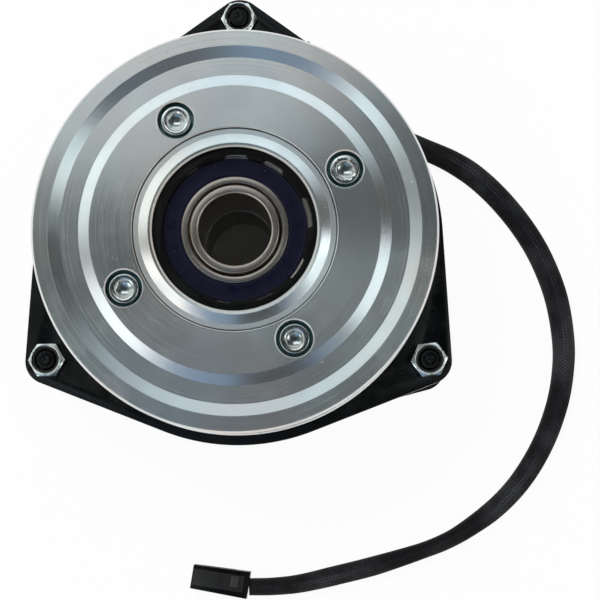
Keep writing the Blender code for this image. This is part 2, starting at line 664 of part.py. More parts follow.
def build_sleeve(axis):
    """Shaft sleeve above the rotor hub, stepped to carry the pulley bearing."""
    outer = BORE_RADIUS + SLEEVE_WALL
    shoulder = outer + SLEEVE_SHOULDER
    low = HUB_TOP + CLEARANCE
    outline = [
        (BORE_RADIUS, low),
        (shoulder, low),
        (shoulder, SLEEVE_STEP),
        (outer, SLEEVE_STEP),
        (outer, SLEEVE_TOP - 0.0003),
        (outer - 0.0003, SLEEVE_TOP),
        (BORE_RADIUS + SLEEVE_CHAMFER, SLEEVE_TOP),
        (BORE_RADIUS, SLEEVE_TOP - SLEEVE_CHAMFER),
    ]
    turned("bearing_sleeve", outline, FINISH["bearing_steel"], axis, FACETS_MEDIUM)


def build_armature(axis):
    """Iron ring that the coil pulls down onto the rotor."""
    outline = [
        (ARMATURE_INNER, ARMATURE_BOTTOM),
        (ROTOR_RADIUS, ARMATURE_BOTTOM),
        (ROTOR_RADIUS, ARMATURE_TOP - 0.0006),
        (ROTOR_RADIUS - 0.0006, ARMATURE_TOP),
        (ARMATURE_INNER, ARMATURE_TOP),
    ]
    plate = turned("armature_plate", outline, FINISH["steel"], axis)
    bm = bmesh.new()
    below = ARMATURE_BOTTOM - CUT_OVERRUN
    above = ARMATURE_TOP + CUT_OVERRUN
    for i in range(ARMATURE_SLOTS):
        middle = SPRING_START_ANGLE + 360.0 * (i + 0.5) / ARMATURE_SLOTS
        slot = ring_sector(ARMATURE_SLOT_RADIUS - SLOT_WIDTH, ARMATURE_SLOT_RADIUS, middle,
                           ARMATURE_SLOT_HALF_ANGLE, 4)
        add_prism(bm, slot, below, above)
    for centre in spring_places(-1):
        add_prism(bm, circle(RIVET_RADIUS + CLEARANCE, centre=centre), below, above)
    for centre in spring_places(1):
        add_prism(bm, circle(RIVET_HEAD_RADIUS + RIVET_RELIEF, centre=centre), below, above)
    cut(plate, add_object("armature_holes", bm, FINISH["steel"], axis))
    tails = cylinders("armature_tail_seats", spring_places(-1), RIVET_HEAD_RADIUS + CLEARANCE,
                      below, ARMATURE_BOTTOM + 0.0022, axis)
    cut(plate, tails)


def build_leaf_springs(axis):
    """Three flat springs that hold the armature up to the pulley hub."""
    step = 360.0 / SPRING_COUNT
    reach = SPRING_CIRCLE * math.sin(math.radians(SPRING_HALF_ANGLE))
    depth = SPRING_CIRCLE * math.cos(math.radians(SPRING_HALF_ANGLE))
    half = SPRING_WIDTH / 2
    strap = arc(half, 0.0, 180.0, 8, (depth, reach)) + arc(half, 180.0, 360.0, 8, (depth, -reach))
    holes = [(depth, reach), (depth, -reach)]
    first = prism("leaf_spring_1", strap, SPRING_BOTTOM, SPRING_TOP, FINISH["spring_steel"], axis)
    guide = cylinders("leaf_spring_holes", holes, RIVET_RADIUS + CLEARANCE,
                      SPRING_BOTTOM - CUT_OVERRUN, SPRING_TOP + CUT_OVERRUN, axis)
    cut(first, guide)
    first.rotation_euler = (0.0, 0.0, math.radians(SPRING_START_ANGLE))
    guide.rotation_euler = first.rotation_euler
    for i in range(1, SPRING_COUNT):
        turn = SPRING_START_ANGLE + i * step
        twin = copy_object("leaf_spring_" + str(i + 1), first, (0, 0, 0), turn)
        twin_guide = copy_object("leaf_spring_holes_" + str(i + 1), guide, (0, 0, 0), turn)
        cut(twin, twin_guide)


def build_rivets(axis):
    """Rivets from the springs down into the armature, and up into the pulley hub."""
    head_low = SPRING_TOP + RIVET_PLAY
    head_high = head_low + RIVET_HEAD_THICKNESS
    tail_low = ARMATURE_BOTTOM + 0.0003
    tail_high = ARMATURE_BOTTOM + 0.0019
    stem = RIVET_RADIUS
    head = RIVET_HEAD_RADIUS
    down = [(0.0, tail_low), (head, tail_low), (head, tail_high), (stem, tail_high), (stem, head_low),
            (head, head_low), (head - 0.0008, head_high), (0.0, head_high)]
    up_low = SPRING_BOTTOM - CLEARANCE - RIVET_HEAD_THICKNESS
    up = [(0.0, up_low), (head - 0.0008, up_low), (head, SPRING_BOTTOM - CLEARANCE),
          (stem, SPRING_BOTTOM - CLEARANCE), (stem, HUB_BOSS_BOTTOM + RIVET_GRIP),
          (0.0, HUB_BOSS_BOTTOM + RIVET_GRIP)]
    for label, outline, side in (("armature_rivet_", down, -1), ("hub_rivet_", up, 1)):
        places = spring_places(side)
        first = turned(label + "1", outline, FINISH["zinc"], axis, 10)
        first.location = (*places[0], 0.0)
        for i, place in enumerate(places[1:], 2):
            copy_object(label + str(i), first, (*place, 0.0))


def build_brake(axis):
    """Fixed brake plate over the armature, with three pads under it."""
    plate = prism("brake_plate", eared_outline(BRAKE_PLATE_RADIUS, EAR_RADIUS, arc_steps=12),
                  BRAKE_PLATE_BOTTOM, BRAKE_PLATE_TOP, FINISH["gloss_black"], axis)
    below = BRAKE_PLATE_BOTTOM - CUT_OVERRUN
    above = BRAKE_PLATE_TOP + CUT_OVERRUN
    cut(plate, cylinders("brake_stud_holes", stud_places(), STUD_HOLE, below, above, axis))
    cut(plate, cylinders("brake_shaft_hole", [(0.0, 0.0)], BRAKE_PLATE_HOLE, below, above, axis,
                         FACETS_MEDIUM))
    pad_top = BRAKE_PAD_BOTTOM + BRAKE_PAD_THICKNESS
    for i, angle in enumerate(STUD_ANGLES, 1):
        pad = ring_sector(BRAKE_PAD_INNER, BRAKE_PAD_OUTER, angle, BRAKE_PAD_HALF_ANGLE)
        prism("brake_pad_" + str(i), pad, BRAKE_PAD_BOTTOM, pad_top, FINISH["friction"], axis)


def build_studs(axis):
    """Studs in the ears, their springs, and the lock nuts that set the air gap."""
    low = CLEARANCE
    collar_low = FIELD_PLATE_THICKNESS + CLEARANCE
    collar_high = collar_low + STUD_COLLAR_HEIGHT
    end = NUT_TOP + STUD_STANDOUT
    stud = [(0.0, low), (STUD_RADIUS, low), (STUD_RADIUS, collar_low), (STUD_COLLAR_RADIUS, collar_low),
            (STUD_COLLAR_RADIUS, collar_high), (STUD_RADIUS, collar_high), (STUD_RADIUS, end - 0.0006),
            (STUD_RADIUS - 0.0006, end), (0.0, end)]
    spring = spring_mesh(collar_high + CLEARANCE, BRAKE_PLATE_BOTTOM - CLEARANCE)
    places = stud_places()
    first_stud = turned("brake_stud_1", stud, FINISH["zinc_dark"], axis, FACETS_FASTENER)
    first_spring = add_object("brake_spring_1", spring, FINISH["spring_steel"], axis, 60.0)
    first_nut = lock_nut(axis)
    nylon = [(STUD_HOLE, NUT_HEX_TOP), (STUD_HOLE + NYLON_WALL, NUT_HEX_TOP),
             (STUD_HOLE + NYLON_WALL, NUT_TOP - 0.0002), (STUD_HOLE, NUT_TOP - 0.0002)]
    first_ring = turned("nylon_insert_1", nylon, FINISH["moulding"], axis, FACETS_FASTENER)
    for i, (x, y) in enumerate(places, 1):
        if i == 1:
            for piece in (first_stud, first_spring, first_nut, first_ring):
                piece.location = (x, y, 0.0)
            continue
        copy_object("brake_stud_" + str(i), first_stud, (x, y, 0.0))
        copy_object("brake_spring_" + str(i), first_spring, (x, y, 0.0))
        copy_cut(first_nut, "lock_nut_" + str(i), (x, y, 0.0), 17.0 * i)
        copy_object("nylon_insert_" + str(i), first_ring, (x, y, 0.0))


def spring_mesh(low, high):
    """Round wire wound round the stud, its ends resting on the collar and the brake plate."""
    mean = STUD_RADIUS + CLEARANCE + 2 * COIL_SPRING_WIRE
    base = low + COIL_SPRING_WIRE
    rise = high - low - 2 * COIL_SPRING_WIRE
    count = COIL_SPRING_TURNS * COIL_SPRING_STEPS
    dead = COIL_SPRING_STEPS
    bm = bmesh.new()
    rings = []
    for i in range(count + 1):
        turn = math.tau * i / COIL_SPRING_STEPS
        share = min(max((i - dead / 2) / (count - dead), 0.0), 1.0)
        centre = Vector((mean * math.cos(turn), mean * math.sin(turn), base + rise * share))
        outward = Vector((math.cos(turn), math.sin(turn), 0.0))
        ring = []
        for k in range(COIL_SPRING_SIDES):
            lean = math.tau * k / COIL_SPRING_SIDES
            offset = outward * math.cos(lean) + Vector((0, 0, 1)) * math.sin(lean)
            ring.append(bm.verts.new(centre + COIL_SPRING_WIRE * offset))
        rings.append(ring)
    for lower, upper in zip(rings, rings[1:]):
        for k in range(COIL_SPRING_SIDES):
            after = (k + 1) % COIL_SPRING_SIDES
            bm.faces.new((lower[k], lower[after], upper[after], upper[k]))
    bm.faces.new(rings[0])
    bm.faces.new(rings[-1])
    return bm


def lock_nut(axis):
    """Hexagon nut with a round collar crimped at six places over its nylon ring."""
    corner = NUT_FLATS / math.sqrt(3)
    bore = STUD_HOLE
    pocket = STUD_HOLE + NYLON_WALL + CLEARANCE
    bm = bmesh.new()
    add_prism(bm, circle(corner, 6), NUT_BOTTOM, NUT_HEX_TOP)
    nut = add_object("lock_nut_1", bm, FINISH["zinc"], axis)
    collar_low = NUT_HEX_TOP - 0.0010
    crown = turned("nut_collar_guide", [(0.0, collar_low), (NUT_COLLAR_RADIUS, collar_low),
                                        (NUT_COLLAR_RADIUS, NUT_TOP - 0.0007),
                                        (NUT_COLLAR_RADIUS - 0.0007, NUT_TOP), (0.0, NUT_TOP)],
                   FINISH["zinc"], axis, 18)
    cut(nut, crown, "UNION")
    hole = turned("nut_bore_guide", [(0.0, NUT_BOTTOM - 0.002), (bore, NUT_BOTTOM - 0.002),
                                     (bore, NUT_HEX_TOP - CLEARANCE), (pocket, NUT_HEX_TOP - CLEARANCE),
                                     (pocket, NUT_TOP + 0.002), (0.0, NUT_TOP + 0.002)],
                  FINISH["zinc"], axis, FACETS_FASTENER)
    cut(nut, hole)
    bm = bmesh.new()
    for i in range(NUT_NOTCHES):
        centre = polar(NUT_COLLAR_RADIUS + 0.0004, 360.0 * (i + 0.5) / NUT_NOTCHES)
        add_prism(bm, circle(0.0009, 6, (centre.x, centre.y)), NUT_TOP - 0.0010, NUT_TOP + 0.002)
    notches = add_object("nut_notches_guide", bm, FINISH["zinc"], axis)
    cut(nut, notches)
    for guide in (crown, hole, notches):
        guide.parent = nut
    return nut


def build_pulley_hub(axis):
    """Turned hub and rear flange in one, with the bearing housing and the nose ring."""
    bearing_floor = PULLEY_BEARING_BOTTOM - CLEARANCE
    throat = PULLEY_BEARING_RADIUS - BEARING_SHOULDER + CLEARANCE
    ring_groove = RETAINER_OUTER + CLEARANCE
    groove_high = RETAINER_TOP + CLEARANCE
    web_low = GROOVE_LOW - RIM_THICKNESS
    fillet = min(WEB_FILLET, (GROOVE_BOTTOM - HUB_BOSS_RADIUS) / 4)
    outline = [
        (throat, HUB_BOSS_BOTTOM),
        (HUB_BOSS_RADIUS, HUB_BOSS_BOTTOM),
        (HUB_BOSS_RADIUS, web_low - fillet),
        (HUB_BOSS_RADIUS + fillet, web_low),
        (GROOVE_BOTTOM - fillet, web_low),
        (PULLEY_RADIUS - WEB_FILLET, REAR_FLANGE_HEIGHT),
        (PULLEY_RADIUS, REAR_FLANGE_HEIGHT),
        (PULLEY_RADIUS, REAR_RIM_TOP - RIM_EDGE),
        (CREST_EDGE, REAR_RIM_TOP),
        (GROOVE_BOTTOM, GROOVE_LOW),
        (GROOVE_BOTTOM, DISC_SEAT),
        (NOSE_JOINT_RADIUS, DISC_SEAT),
        (NOSE_JOINT_RADIUS, FACE_HEIGHT),
        (NOSE_BEVEL_RADIUS, NOSE_TOP - NOSE_BEVEL_DROP),
        (NOSE_CREST_RADIUS, NOSE_TOP),
        (NOSE_MOUTH_RADIUS, NOSE_TOP - NOSE_LIP_DROP),
        (NOSE_MOUTH_RADIUS, groove_high),
        (ring_groove, groove_high),
        (ring_groove, PULLEY_BEARING_TOP),
        (HUB_BORE, PULLEY_BEARING_TOP),
        (HUB_BORE, bearing_floor),
        (throat, bearing_floor),
    ]
    hub = turned("pulley_hub", outline, FINISH["turned_zinc"], axis, FACETS_LARGE, 12.0)
    bm = bmesh.new()
    screw_end = SCREW_HEAD_BOTTOM - SCREW_LENGTH
    for centre in screw_places():
        add_prism(bm, circle(SCREW_SHANK_RADIUS + CLEARANCE, centre=centre), screw_end - 0.002,
                  DISC_SEAT + 0.002)
    relief = HUB_BOSS_BOTTOM + RIVET_PLAY + RIVET_HEAD_THICKNESS + 0.001
    for centre in spring_places(-1):
        add_prism(bm, circle(RIVET_HEAD_RADIUS + RIVET_RELIEF, centre=centre),
                  HUB_BOSS_BOTTOM - 0.002, relief)
    for centre in spring_places(1):
        add_prism(bm, circle(RIVET_RADIUS + CLEARANCE, centre=centre), HUB_BOSS_BOTTOM - 0.002,
                  HUB_BOSS_BOTTOM + RIVET_GRIP + 0.0005)
    cut(hub, add_object("pulley_hub_holes", bm, FINISH["steel"], axis))


def build_front_disc(axis):
    """Front half of the pulley: belt flank, two sloped bands and four counterbores."""
    hole = NOSE_JOINT_RADIUS + CLEARANCE
    flank_start = GROOVE_BOTTOM + CLEARANCE / math.tan(math.radians(GROOVE_HALF_ANGLE))
    low_face = FACE_HEIGHT - FACE_BAND_DROP
    outline = [
        (hole, DISC_BOTTOM),
        (flank_start, DISC_BOTTOM),
        (CREST_EDGE, FRONT_RIM_BOTTOM),
        (PULLEY_RADIUS, FRONT_RIM_BOTTOM + RIM_EDGE),
        (PULLEY_RADIUS, FACE_HEIGHT - RIM_CHAMFER),
        (PULLEY_RADIUS - RIM_CHAMFER, FACE_HEIGHT),
        (OUTER_BAND_END, FACE_HEIGHT),
        (OUTER_BAND_START, low_face),
        (INNER_BAND_END, low_face),
        (INNER_BAND_START, FACE_HEIGHT),
        (hole, FACE_HEIGHT),
    ]
    disc = turned("pulley_front_disc", outline, FINISH["turned_zinc"], axis, FACETS_LARGE, 12.0)
    seat = SCREW_HEAD_BOTTOM - CLEARANCE
    mouth = COUNTERBORE_RADIUS + COUNTERBORE_CHAMFER
    bore = [(0.0, DISC_BOTTOM - 0.002), (SCREW_SHANK_RADIUS + CLEARANCE, DISC_BOTTOM - 0.002),
            (SCREW_SHANK_RADIUS + CLEARANCE, seat), (COUNTERBORE_RADIUS, seat),
            (COUNTERBORE_RADIUS, FACE_HEIGHT - COUNTERBORE_CHAMFER),
            (mouth + 0.001, FACE_HEIGHT + 0.001), (0.0, FACE_HEIGHT + 0.001)]
    for i, (x, y) in enumerate(screw_places(), 1):
        guide = turned("counterbore_guide_" + str(i), bore, FINISH["steel"], axis, 16)
        guide.location = (x, y, 0.0)
        cut(disc, guide)


def build_cap_screws(axis):
    """Socket head screws that clamp the front disc to the hub."""
    head = SCREW_HEAD_RADIUS
    end = SCREW_HEAD_BOTTOM - SCREW_LENGTH
    body = [(0.0, end), (SCREW_SHANK_RADIUS - 0.0005, end), (SCREW_SHANK_RADIUS, end + 0.0005),
            (SCREW_SHANK_RADIUS, SCREW_HEAD_BOTTOM), (head, SCREW_HEAD_BOTTOM),
            (head, SCREW_HEAD_TOP - 0.0005), (head - 0.0005, SCREW_HEAD_TOP), (0.0, SCREW_HEAD_TOP)]
    first = turned("cap_screw_1", body, FINISH["zinc"], axis, 16)
    corner = SOCKET_FLATS / math.sqrt(3)
    socket = prism("socket_guide", circle(corner, 6), SCREW_HEAD_TOP - SOCKET_DEPTH,
                   SCREW_HEAD_TOP + 0.002, FINISH["zinc"], axis)
    mouth = corner + 0.0004
    flare_low = SCREW_HEAD_TOP - 0.0006
    flare_high = SCREW_HEAD_TOP + 0.0004
    flare = turned("socket_mouth_guide", [(0.0, flare_low), (mouth - 0.0006, flare_low),
                                          (mouth + 0.0004, flare_high), (0.0, flare_high)],
                   FINISH["zinc"], axis, 12)
    cut(first, socket)
    cut(first, flare)
    places = screw_places()
    first.location = (*places[0], 0.0)
    first.rotation_euler = (0.0, 0.0, math.radians(30.0))
    for guide in (socket, flare):
        guide.parent = first
    turns = (30.0, 52.0, 8.0, 41.0)
    for i in range(1, SCREW_COUNT):
        copy_cut(first, "cap_screw_" + str(i + 1), (*places[i], 0.0), turns[i % len(turns)])


def build_retainer(axis):
    """Spring ring over the pulley bearing, its inner edge scalloped."""
    points = []
    step = 360.0 / RETAINER_NOTCHES
    for i in range(RETAINER_NOTCHES):
        middle = 90.0 + i * step
        half = RETAINER_NOTCH_HALF_ANGLE
        points += arc(RETAINER_INNER + RETAINER_NOTCH_DEPTH, middle - half, middle + half, 3)
        points += arc(RETAINER_INNER, middle + half + 4.0, middle + step - half - 4.0, 2)
    bm = bmesh.new()
    add_prism(bm, circle(RETAINER_OUTER, 2 * FACETS_SMALL), RETAINER_BOTTOM, RETAINER_TOP)
    ring = add_object("bearing_retainer", bm, FINISH["black_oxide"], axis)
    cut(ring, prism("retainer_opening_guide", points, RETAINER_BOTTOM - 0.002, RETAINER_TOP + 0.002,
                    FINISH["steel"], axis))


def build_lead_outlet(axis):
    """Moulded outlet on the field cup, with a tapered neck round the lead."""
    place = polar(OUTLET_CIRCLE, OUTLET_ANGLE, 0.0)
    heading = math.radians(OUTLET_HEADING)
    low = CUP_BOTTOM
    lead_height = LEAD_ROUTE[0][2]
    half_length = OUTLET_LENGTH / 2
    half_width = OUTLET_WIDTH / 2
    bm = bmesh.new()
    block = [(-half_length, -half_width), (half_length, -half_width),
             (half_length, half_width), (-half_length, half_width)]
    add_prism(bm, block, low, low + OUTLET_HEIGHT)
    bmesh.ops.bevel(bm, geom=[edge for edge in bm.edges if edge.is_manifold], offset=0.0008,
                    segments=2, profile=0.5, affect="EDGES")
    outlet = add_object("lead_grommet", bm, FINISH["moulding"], axis)
    outlet.location = place
    outlet.rotation_euler = (0.0, 0.0, heading)
    neck = turned("outlet_neck_guide", [(0.0, -0.002), (OUTLET_NECK_RADIUS, -0.002),
                                        (OUTLET_TIP_RADIUS, OUTLET_NECK), (0.0, OUTLET_NECK)],
                  FINISH["moulding"], outlet, FACETS_FASTENER)
    neck.location = (half_length, 0.0, lead_height)
    neck.rotation_euler = (0.0, math.radians(90.0), 0.0)
    cut(outlet, neck, "UNION")
    wall = cylinders("outlet_wall_guide", [(0.0, 0.0)], CUP_RADIUS + CLEARANCE, low - 0.002,
                     low + OUTLET_HEIGHT + 0.002, axis, FACETS_MEDIUM)
    cut(outlet, wall)


def smooth_route(points, spacing):
    """Points at an even spacing on a smooth curve through the route."""
    knots = [Vector(point) for point in points]
    ends = [2 * knots[0] - knots[1]] + knots + [2 * knots[-1] - knots[-2]]
    dense = []
    for i in range(1, len(ends) - 2):
        before, start, end, after = ends[i - 1:i + 3]
        for k in range(16):
            t = k / 16
            slope_in = (end - before) / 2
            slope_out = (after - start) / 2
            dense.append((2 * t ** 3 - 3 * t ** 2 + 1) * start + (t ** 3 - 2 * t ** 2 + t) * slope_in
                         + (3 * t ** 2 - 2 * t ** 3) * end + (t ** 3 - t ** 2) * slope_out)
    dense.append(knots[-1])
    length = sum((b - a).length for a, b in zip(dense, dense[1:]))
    count = max(2, round(length / spacing))
    picked = [dense[0]]
    walked = 0.0
    for a, b in zip(dense, dense[1:]):
        step = (b - a).length
        while len(picked) < count and walked + step >= length * len(picked) / count:
            share = (length * len(picked) / count - walked) / step
            picked.append(a.lerp(b, share))
        walked += step
    picked.append(knots[-1])
    return picked


def build_lead(axis):
    """Woven sleeve with its two wires, lying on the surface that the clutch stands on."""
    curve = bpy.data.curves.new("lead_sleeve", "CURVE")
    curve.dimensions = "3D"
    curve.bevel_depth = LEAD_RADIUS
    curve.bevel_resolution = 2
    curve.use_fill_caps = True
    points = smooth_route(LEAD_ROUTE, LEAD_POINT_SPACING)
    spline = curve.splines.new("POLY")
    spline.points.add(len(points) - 1)
    for knot, point in zip(spline.points, points):
        knot.co = (*point, 1.0)
    curve.materials.append(FINISH["woven"])
    lead = bpy.data.objects.new("lead_sleeve", curve)
    bpy.context.scene.collection.objects.link(lead)
    lead.parent = axis


def build_connector(axis):
    """Two-way connector on the end of the lead: a housing with two blades in its mouth."""
    end = Vector(LEAD_ROUTE[-1])
    heading = math.radians(CONNECTOR_HEADING)
    along = Vector((math.cos(heading), math.sin(heading), 0.0))
    centre = end + along * (CLEARANCE + CONNECTOR_LENGTH / 2)
    half_length = CONNECTOR_LENGTH / 2
    half_width = CONNECTOR_WIDTH / 2
    bm = bmesh.new()
    shell = [(-half_length, -half_width), (half_length, -half_width),
             (half_length, half_width), (-half_length, half_width)]
    add_prism(bm, shell, 0.0, CONNECTOR_HEIGHT)
    bmesh.ops.bevel(bm, geom=list(bm.edges), offset=0.0006, segments=2, profile=0.5, affect="EDGES")
    housing = add_object("connector_housing", bm, FINISH["moulding"], axis)
    housing.location = (centre.x, centre.y, 0.0)
    housing.rotation_euler = (0.0, 0.0, heading)
    mouth = prism("connector_mouth_guide",
                  [(half_length - CONNECTOR_CAVITY, -half_width + CONNECTOR_WALL),
                   (half_length + 0.002, -half_width + CONNECTOR_WALL),
                   (half_length + 0.002, half_width - CONNECTOR_WALL),
                   (half_length - CONNECTOR_CAVITY, half_width - CONNECTOR_WALL)],
                  CONNECTOR_WALL, CONNECTOR_HEIGHT - CONNECTOR_WALL, FINISH["moulding"], housing)
    cut(housing, mouth)
    side = LATCH_WIDTH / 2
    latch = prism("connector_latch_guide", [(LATCH_START, -side), (LATCH_END, -side), (LATCH_END, side),
                                            (LATCH_START, side)],
                  CONNECTOR_HEIGHT - CLEARANCE, CONNECTOR_HEIGHT + LATCH_HEIGHT, FINISH["moulding"],
                  housing)
    cut(housing, latch, "UNION")
    floor = half_length - CONNECTOR_CAVITY + CLEARANCE
    middle = CONNECTOR_HEIGHT / 2
    tip = floor + TERMINAL_LENGTH
    for i, side in enumerate((-1, 1), 1):
        low = side * CONNECTOR_WIDTH / 5 - TERMINAL_THICKNESS / 2
        high = low + TERMINAL_THICKNESS
        blade = prism("connector_blade_" + str(i), [(floor, low), (tip, low), (tip, high), (floor, high)],
                      middle - TERMINAL_WIDTH / 2, middle + TERMINAL_WIDTH / 2, FINISH["zinc"], axis)
        blade.location = housing.location
        blade.rotation_euler = housing.rotation_euler


FINISH = {}


def make_finishes():
    """The finishes, by name."""
    table = (
        ("turned_zinc", (0.42, 0.45, 0.45), 0.30, 1.0),
        ("bearing_steel", (0.45, 0.44, 0.42), 0.25, 1.0),
        ("steel", (0.35, 0.35, 0.34), 0.40, 1.0),
        ("zinc", (0.62, 0.62, 0.60), 0.32, 1.0),
        ("zinc_dark", (0.20, 0.20, 0.20), 0.45, 1.0),
        ("spring_steel", (0.12, 0.12, 0.13), 0.35, 1.0),
        ("black_oxide", (0.02, 0.02, 0.02), 0.35, 0.6),
        ("black_paint", (0.015, 0.015, 0.015), 0.40, 0.0),
        ("gloss_black", (0.008, 0.008, 0.008), 0.15, 0.0),
        ("seal", (0.006, 0.006, 0.020), 0.50, 0.0),
        ("moulding", (0.012, 0.012, 0.013), 0.50, 0.0),
        ("woven", (0.012, 0.012, 0.012), 0.85, 0.0),
        ("friction", (0.10, 0.08, 0.06), 0.90, 0.0),
        ("copper", (0.45, 0.16, 0.07), 0.35, 1.0),
    )
    for name, colour, roughness, metallic in table:
        FINISH[name] = material(name, colour, roughness, metallic)


def build_clutch():
    """Build every piece under the empty that marks the turning axis."""
    clear_scene()
    make_finishes()
    axis = bpy.data.objects.new("turning_axis", None)
    bpy.context.scene.collection.objects.link(axis)
    axis.location = (0.0, AXIS_Y, 0.0)
    build_field_plate(axis)
    build_field_cup(axis)
    build_coil(axis)
    build_bearing("field_bearing", axis, FIELD_BEARING_BORE, FIELD_BEARING_RADIUS,
                  FIELD_BEARING_BOTTOM, FIELD_BEARING_WIDTH, FIELD_BALL_RADIUS, FIELD_BALL_COUNT)
    build_retaining_rings(axis)
    build_rotor_hub(axis)
    build_rotor_disc(axis)
    build_sleeve(axis)
    build_armature(axis)
    build_leaf_springs(axis)
    build_rivets(axis)
    build_brake(axis)
    build_studs(axis)
    build_pulley_hub(axis)
    build_front_disc(axis)
    build_cap_screws(axis)
    build_bearing("pulley_bearing", axis, PULLEY_BEARING_BORE, PULLEY_BEARING_RADIUS,
                  PULLEY_BEARING_BOTTOM, PULLEY_BEARING_WIDTH, PULLEY_BALL_RADIUS, PULLEY_BALL_COUNT)
    build_retainer(axis)
    build_lead_outlet(axis)
    build_lead(axis)
    build_connector(axis)


build_clutch()
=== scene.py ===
"""Electric clutch and brake of a ride-on mower, lying on its field side.

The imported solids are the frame. The pieces that show are turned, cut and rounded again here at
a finer grain in the same places, and every surface gets the finish of the real one. Lengths are
in metres and angles in degrees. Radii are measured from the turning axis.
"""
import math

import bmesh
import bpy
from mathutils import Matrix, Vector


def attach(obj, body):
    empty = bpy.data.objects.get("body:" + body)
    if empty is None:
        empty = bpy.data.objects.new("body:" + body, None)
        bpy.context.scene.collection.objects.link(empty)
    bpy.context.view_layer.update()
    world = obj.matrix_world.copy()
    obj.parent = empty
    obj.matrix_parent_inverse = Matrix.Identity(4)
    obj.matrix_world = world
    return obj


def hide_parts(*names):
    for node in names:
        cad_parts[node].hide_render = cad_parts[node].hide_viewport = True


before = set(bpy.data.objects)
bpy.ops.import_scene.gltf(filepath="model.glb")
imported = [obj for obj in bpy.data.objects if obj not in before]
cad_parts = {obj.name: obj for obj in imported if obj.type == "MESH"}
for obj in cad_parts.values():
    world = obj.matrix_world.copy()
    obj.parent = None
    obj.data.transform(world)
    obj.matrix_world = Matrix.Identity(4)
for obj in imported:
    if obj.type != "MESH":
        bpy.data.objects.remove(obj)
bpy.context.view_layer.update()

# The turning axis, which stands off the origin
AXIS = Vector((0.0, -0.0088, 0.0))
CLEARANCE = 0.0003          # play between pieces that don't touch
CUT_PAST = 0.0020           # how far a cutter reaches past the face that it cuts

# Grain of the round pieces
STEPS_LARGE = 224
STEPS_MEDIUM = 144
STEPS_FASTENER = 48

# Studs and cap screws
STUD_CIRCLE = 0.0918
STUD_ANGLES = (90.0, 212.6, 327.4)
SCREW_CIRCLE = 0.0492
SCREW_ANGLES = (28.5, 118.5, 208.5, 298.5)
SCREW_TURNS = (30.0, 52.0, 8.0, 41.0)
SCREW_HOLE_RADIUS = 0.0033

# Rivets of the leaf springs, which the pulley hub makes room for
RIVET_CIRCLE = 0.0440
RIVET_OFFSET = 22.0
RIVET_HEAD_RADIUS = 0.0050
RIVET_HOLE_RADIUS = 0.0022

# Pulley
PULLEY_RADIUS = 0.0800
CREST_EDGE = 0.0795
GROOVE_BOTTOM = 0.0650
GROOVE_LOW = 0.061133
DISC_SEAT = 0.069067
FACE_HEIGHT = 0.0781
LOW_FACE = 0.0770
NOSE_TOP = 0.0790
HUB_BOSS_BOTTOM = 0.0417
REAR_RIM_LOW = 0.0532
REAR_RIM_TOP = 0.0567
FRONT_RIM_LOW = 0.0735

# Pulley bearing and its sleeve
BORE_RADIUS = 0.0142875
SLEEVE_RADIUS = 0.0174875
SLEEVE_LOW = 0.0346
SLEEVE_STEP = 0.0607
SLEEVE_TOP = 0.0764
BEARING_LOW = 0.0610
BEARING_TOP = 0.0750
RACE_INNER_FACE = 0.0177875
RACE_OUTER_FACE = 0.0310
RACE_WALL = 0.0033
BALL_ROOM = 0.00437

# Retainer over the bearing
RETAINER_RADIUS = 0.0327
RETAINER_REACH = 0.0284
RETAINER_LOW = 0.0753
RETAINER_TOP = 0.0766

# Cap screw
HEAD_TOP = 0.0773
HEAD_LOW = 0.0715
HEAD_RADIUS = 0.0059
SOCKET_FLATS = 0.0060
COUNTERBORE_RADIUS = 0.0073

# Lock nut on its stud
NUT_LOW = 0.0468
NUT_HEX_TOP = 0.0520
NUT_TOP = 0.0546
NUT_FLATS = 0.0130
NUT_TURNS = (0.0, 1.0, 7.0)  # how far each is turned, as in the photograph
STUD_RADIUS = 0.0039
COLLAR_RADIUS = 0.0062
SPRING_LOW = 0.0068
SPRING_TOP = 0.0430
SPRING_WIRE = 0.0007

# Plates
BRAKE_PLATE_LOW = 0.0433
BRAKE_PLATE_TOP = 0.0465
BRAKE_PLATE_RADIUS = 0.0837
FIELD_PLATE_RADIUS = 0.0770
PLATE_THICKNESS = 0.0032
EAR_RADIUS = 0.0095
BRAKE_PLATE_HOLE = 0.0530
FIELD_PLATE_HOLE = 0.0290

# Route of the lead, measured from the turning axis
LEAD_ROUTE = (
    (0.0428, 0.0582, 0.0083), (0.0550, 0.0552, 0.0082), (0.0670, 0.0511, 0.0080),
    (0.0790, 0.0460, 0.0066), (0.0914, 0.0405, 0.0050), (0.1018, 0.0336, 0.0043),
    (0.1125, 0.0231, 0.0042), (0.1225, 0.0100, 0.0042), (0.1299, -0.0036, 0.0042),
    (0.1355, -0.0197, 0.0042), (0.1381, -0.0377, 0.0042), (0.1376, -0.0516, 0.0042),
    (0.1349, -0.0654, 0.0042), (0.1293, -0.0804, 0.0042), (0.1212, -0.0945, 0.0042),
    (0.1116, -0.1059, 0.0042), (0.0995, -0.1157, 0.0042), (0.0842, -0.1245, 0.0042),
    (0.0597, -0.1327, 0.0042), (0.0402, -0.1377, 0.0042), (0.0245, -0.1412, 0.0044),
    (0.0130, -0.1424, 0.0046), (0.0029, -0.1426, 0.0046),
)
LEAD_HALF_HEIGHT = 0.0034
LEAD_SECTION = 0.0000155    # half width times half height: where it is wider it is flatter
LEAD_GIRTH = 2 * math.pi * 0.0042    # way round the sleeve, on which its yarn is laid out
CONNECTOR_HEADING = 171.0
CONNECTOR_LENGTH = 0.0243
CONNECTOR_WIDTH = 0.0110
CONNECTOR_HEIGHT = 0.0092

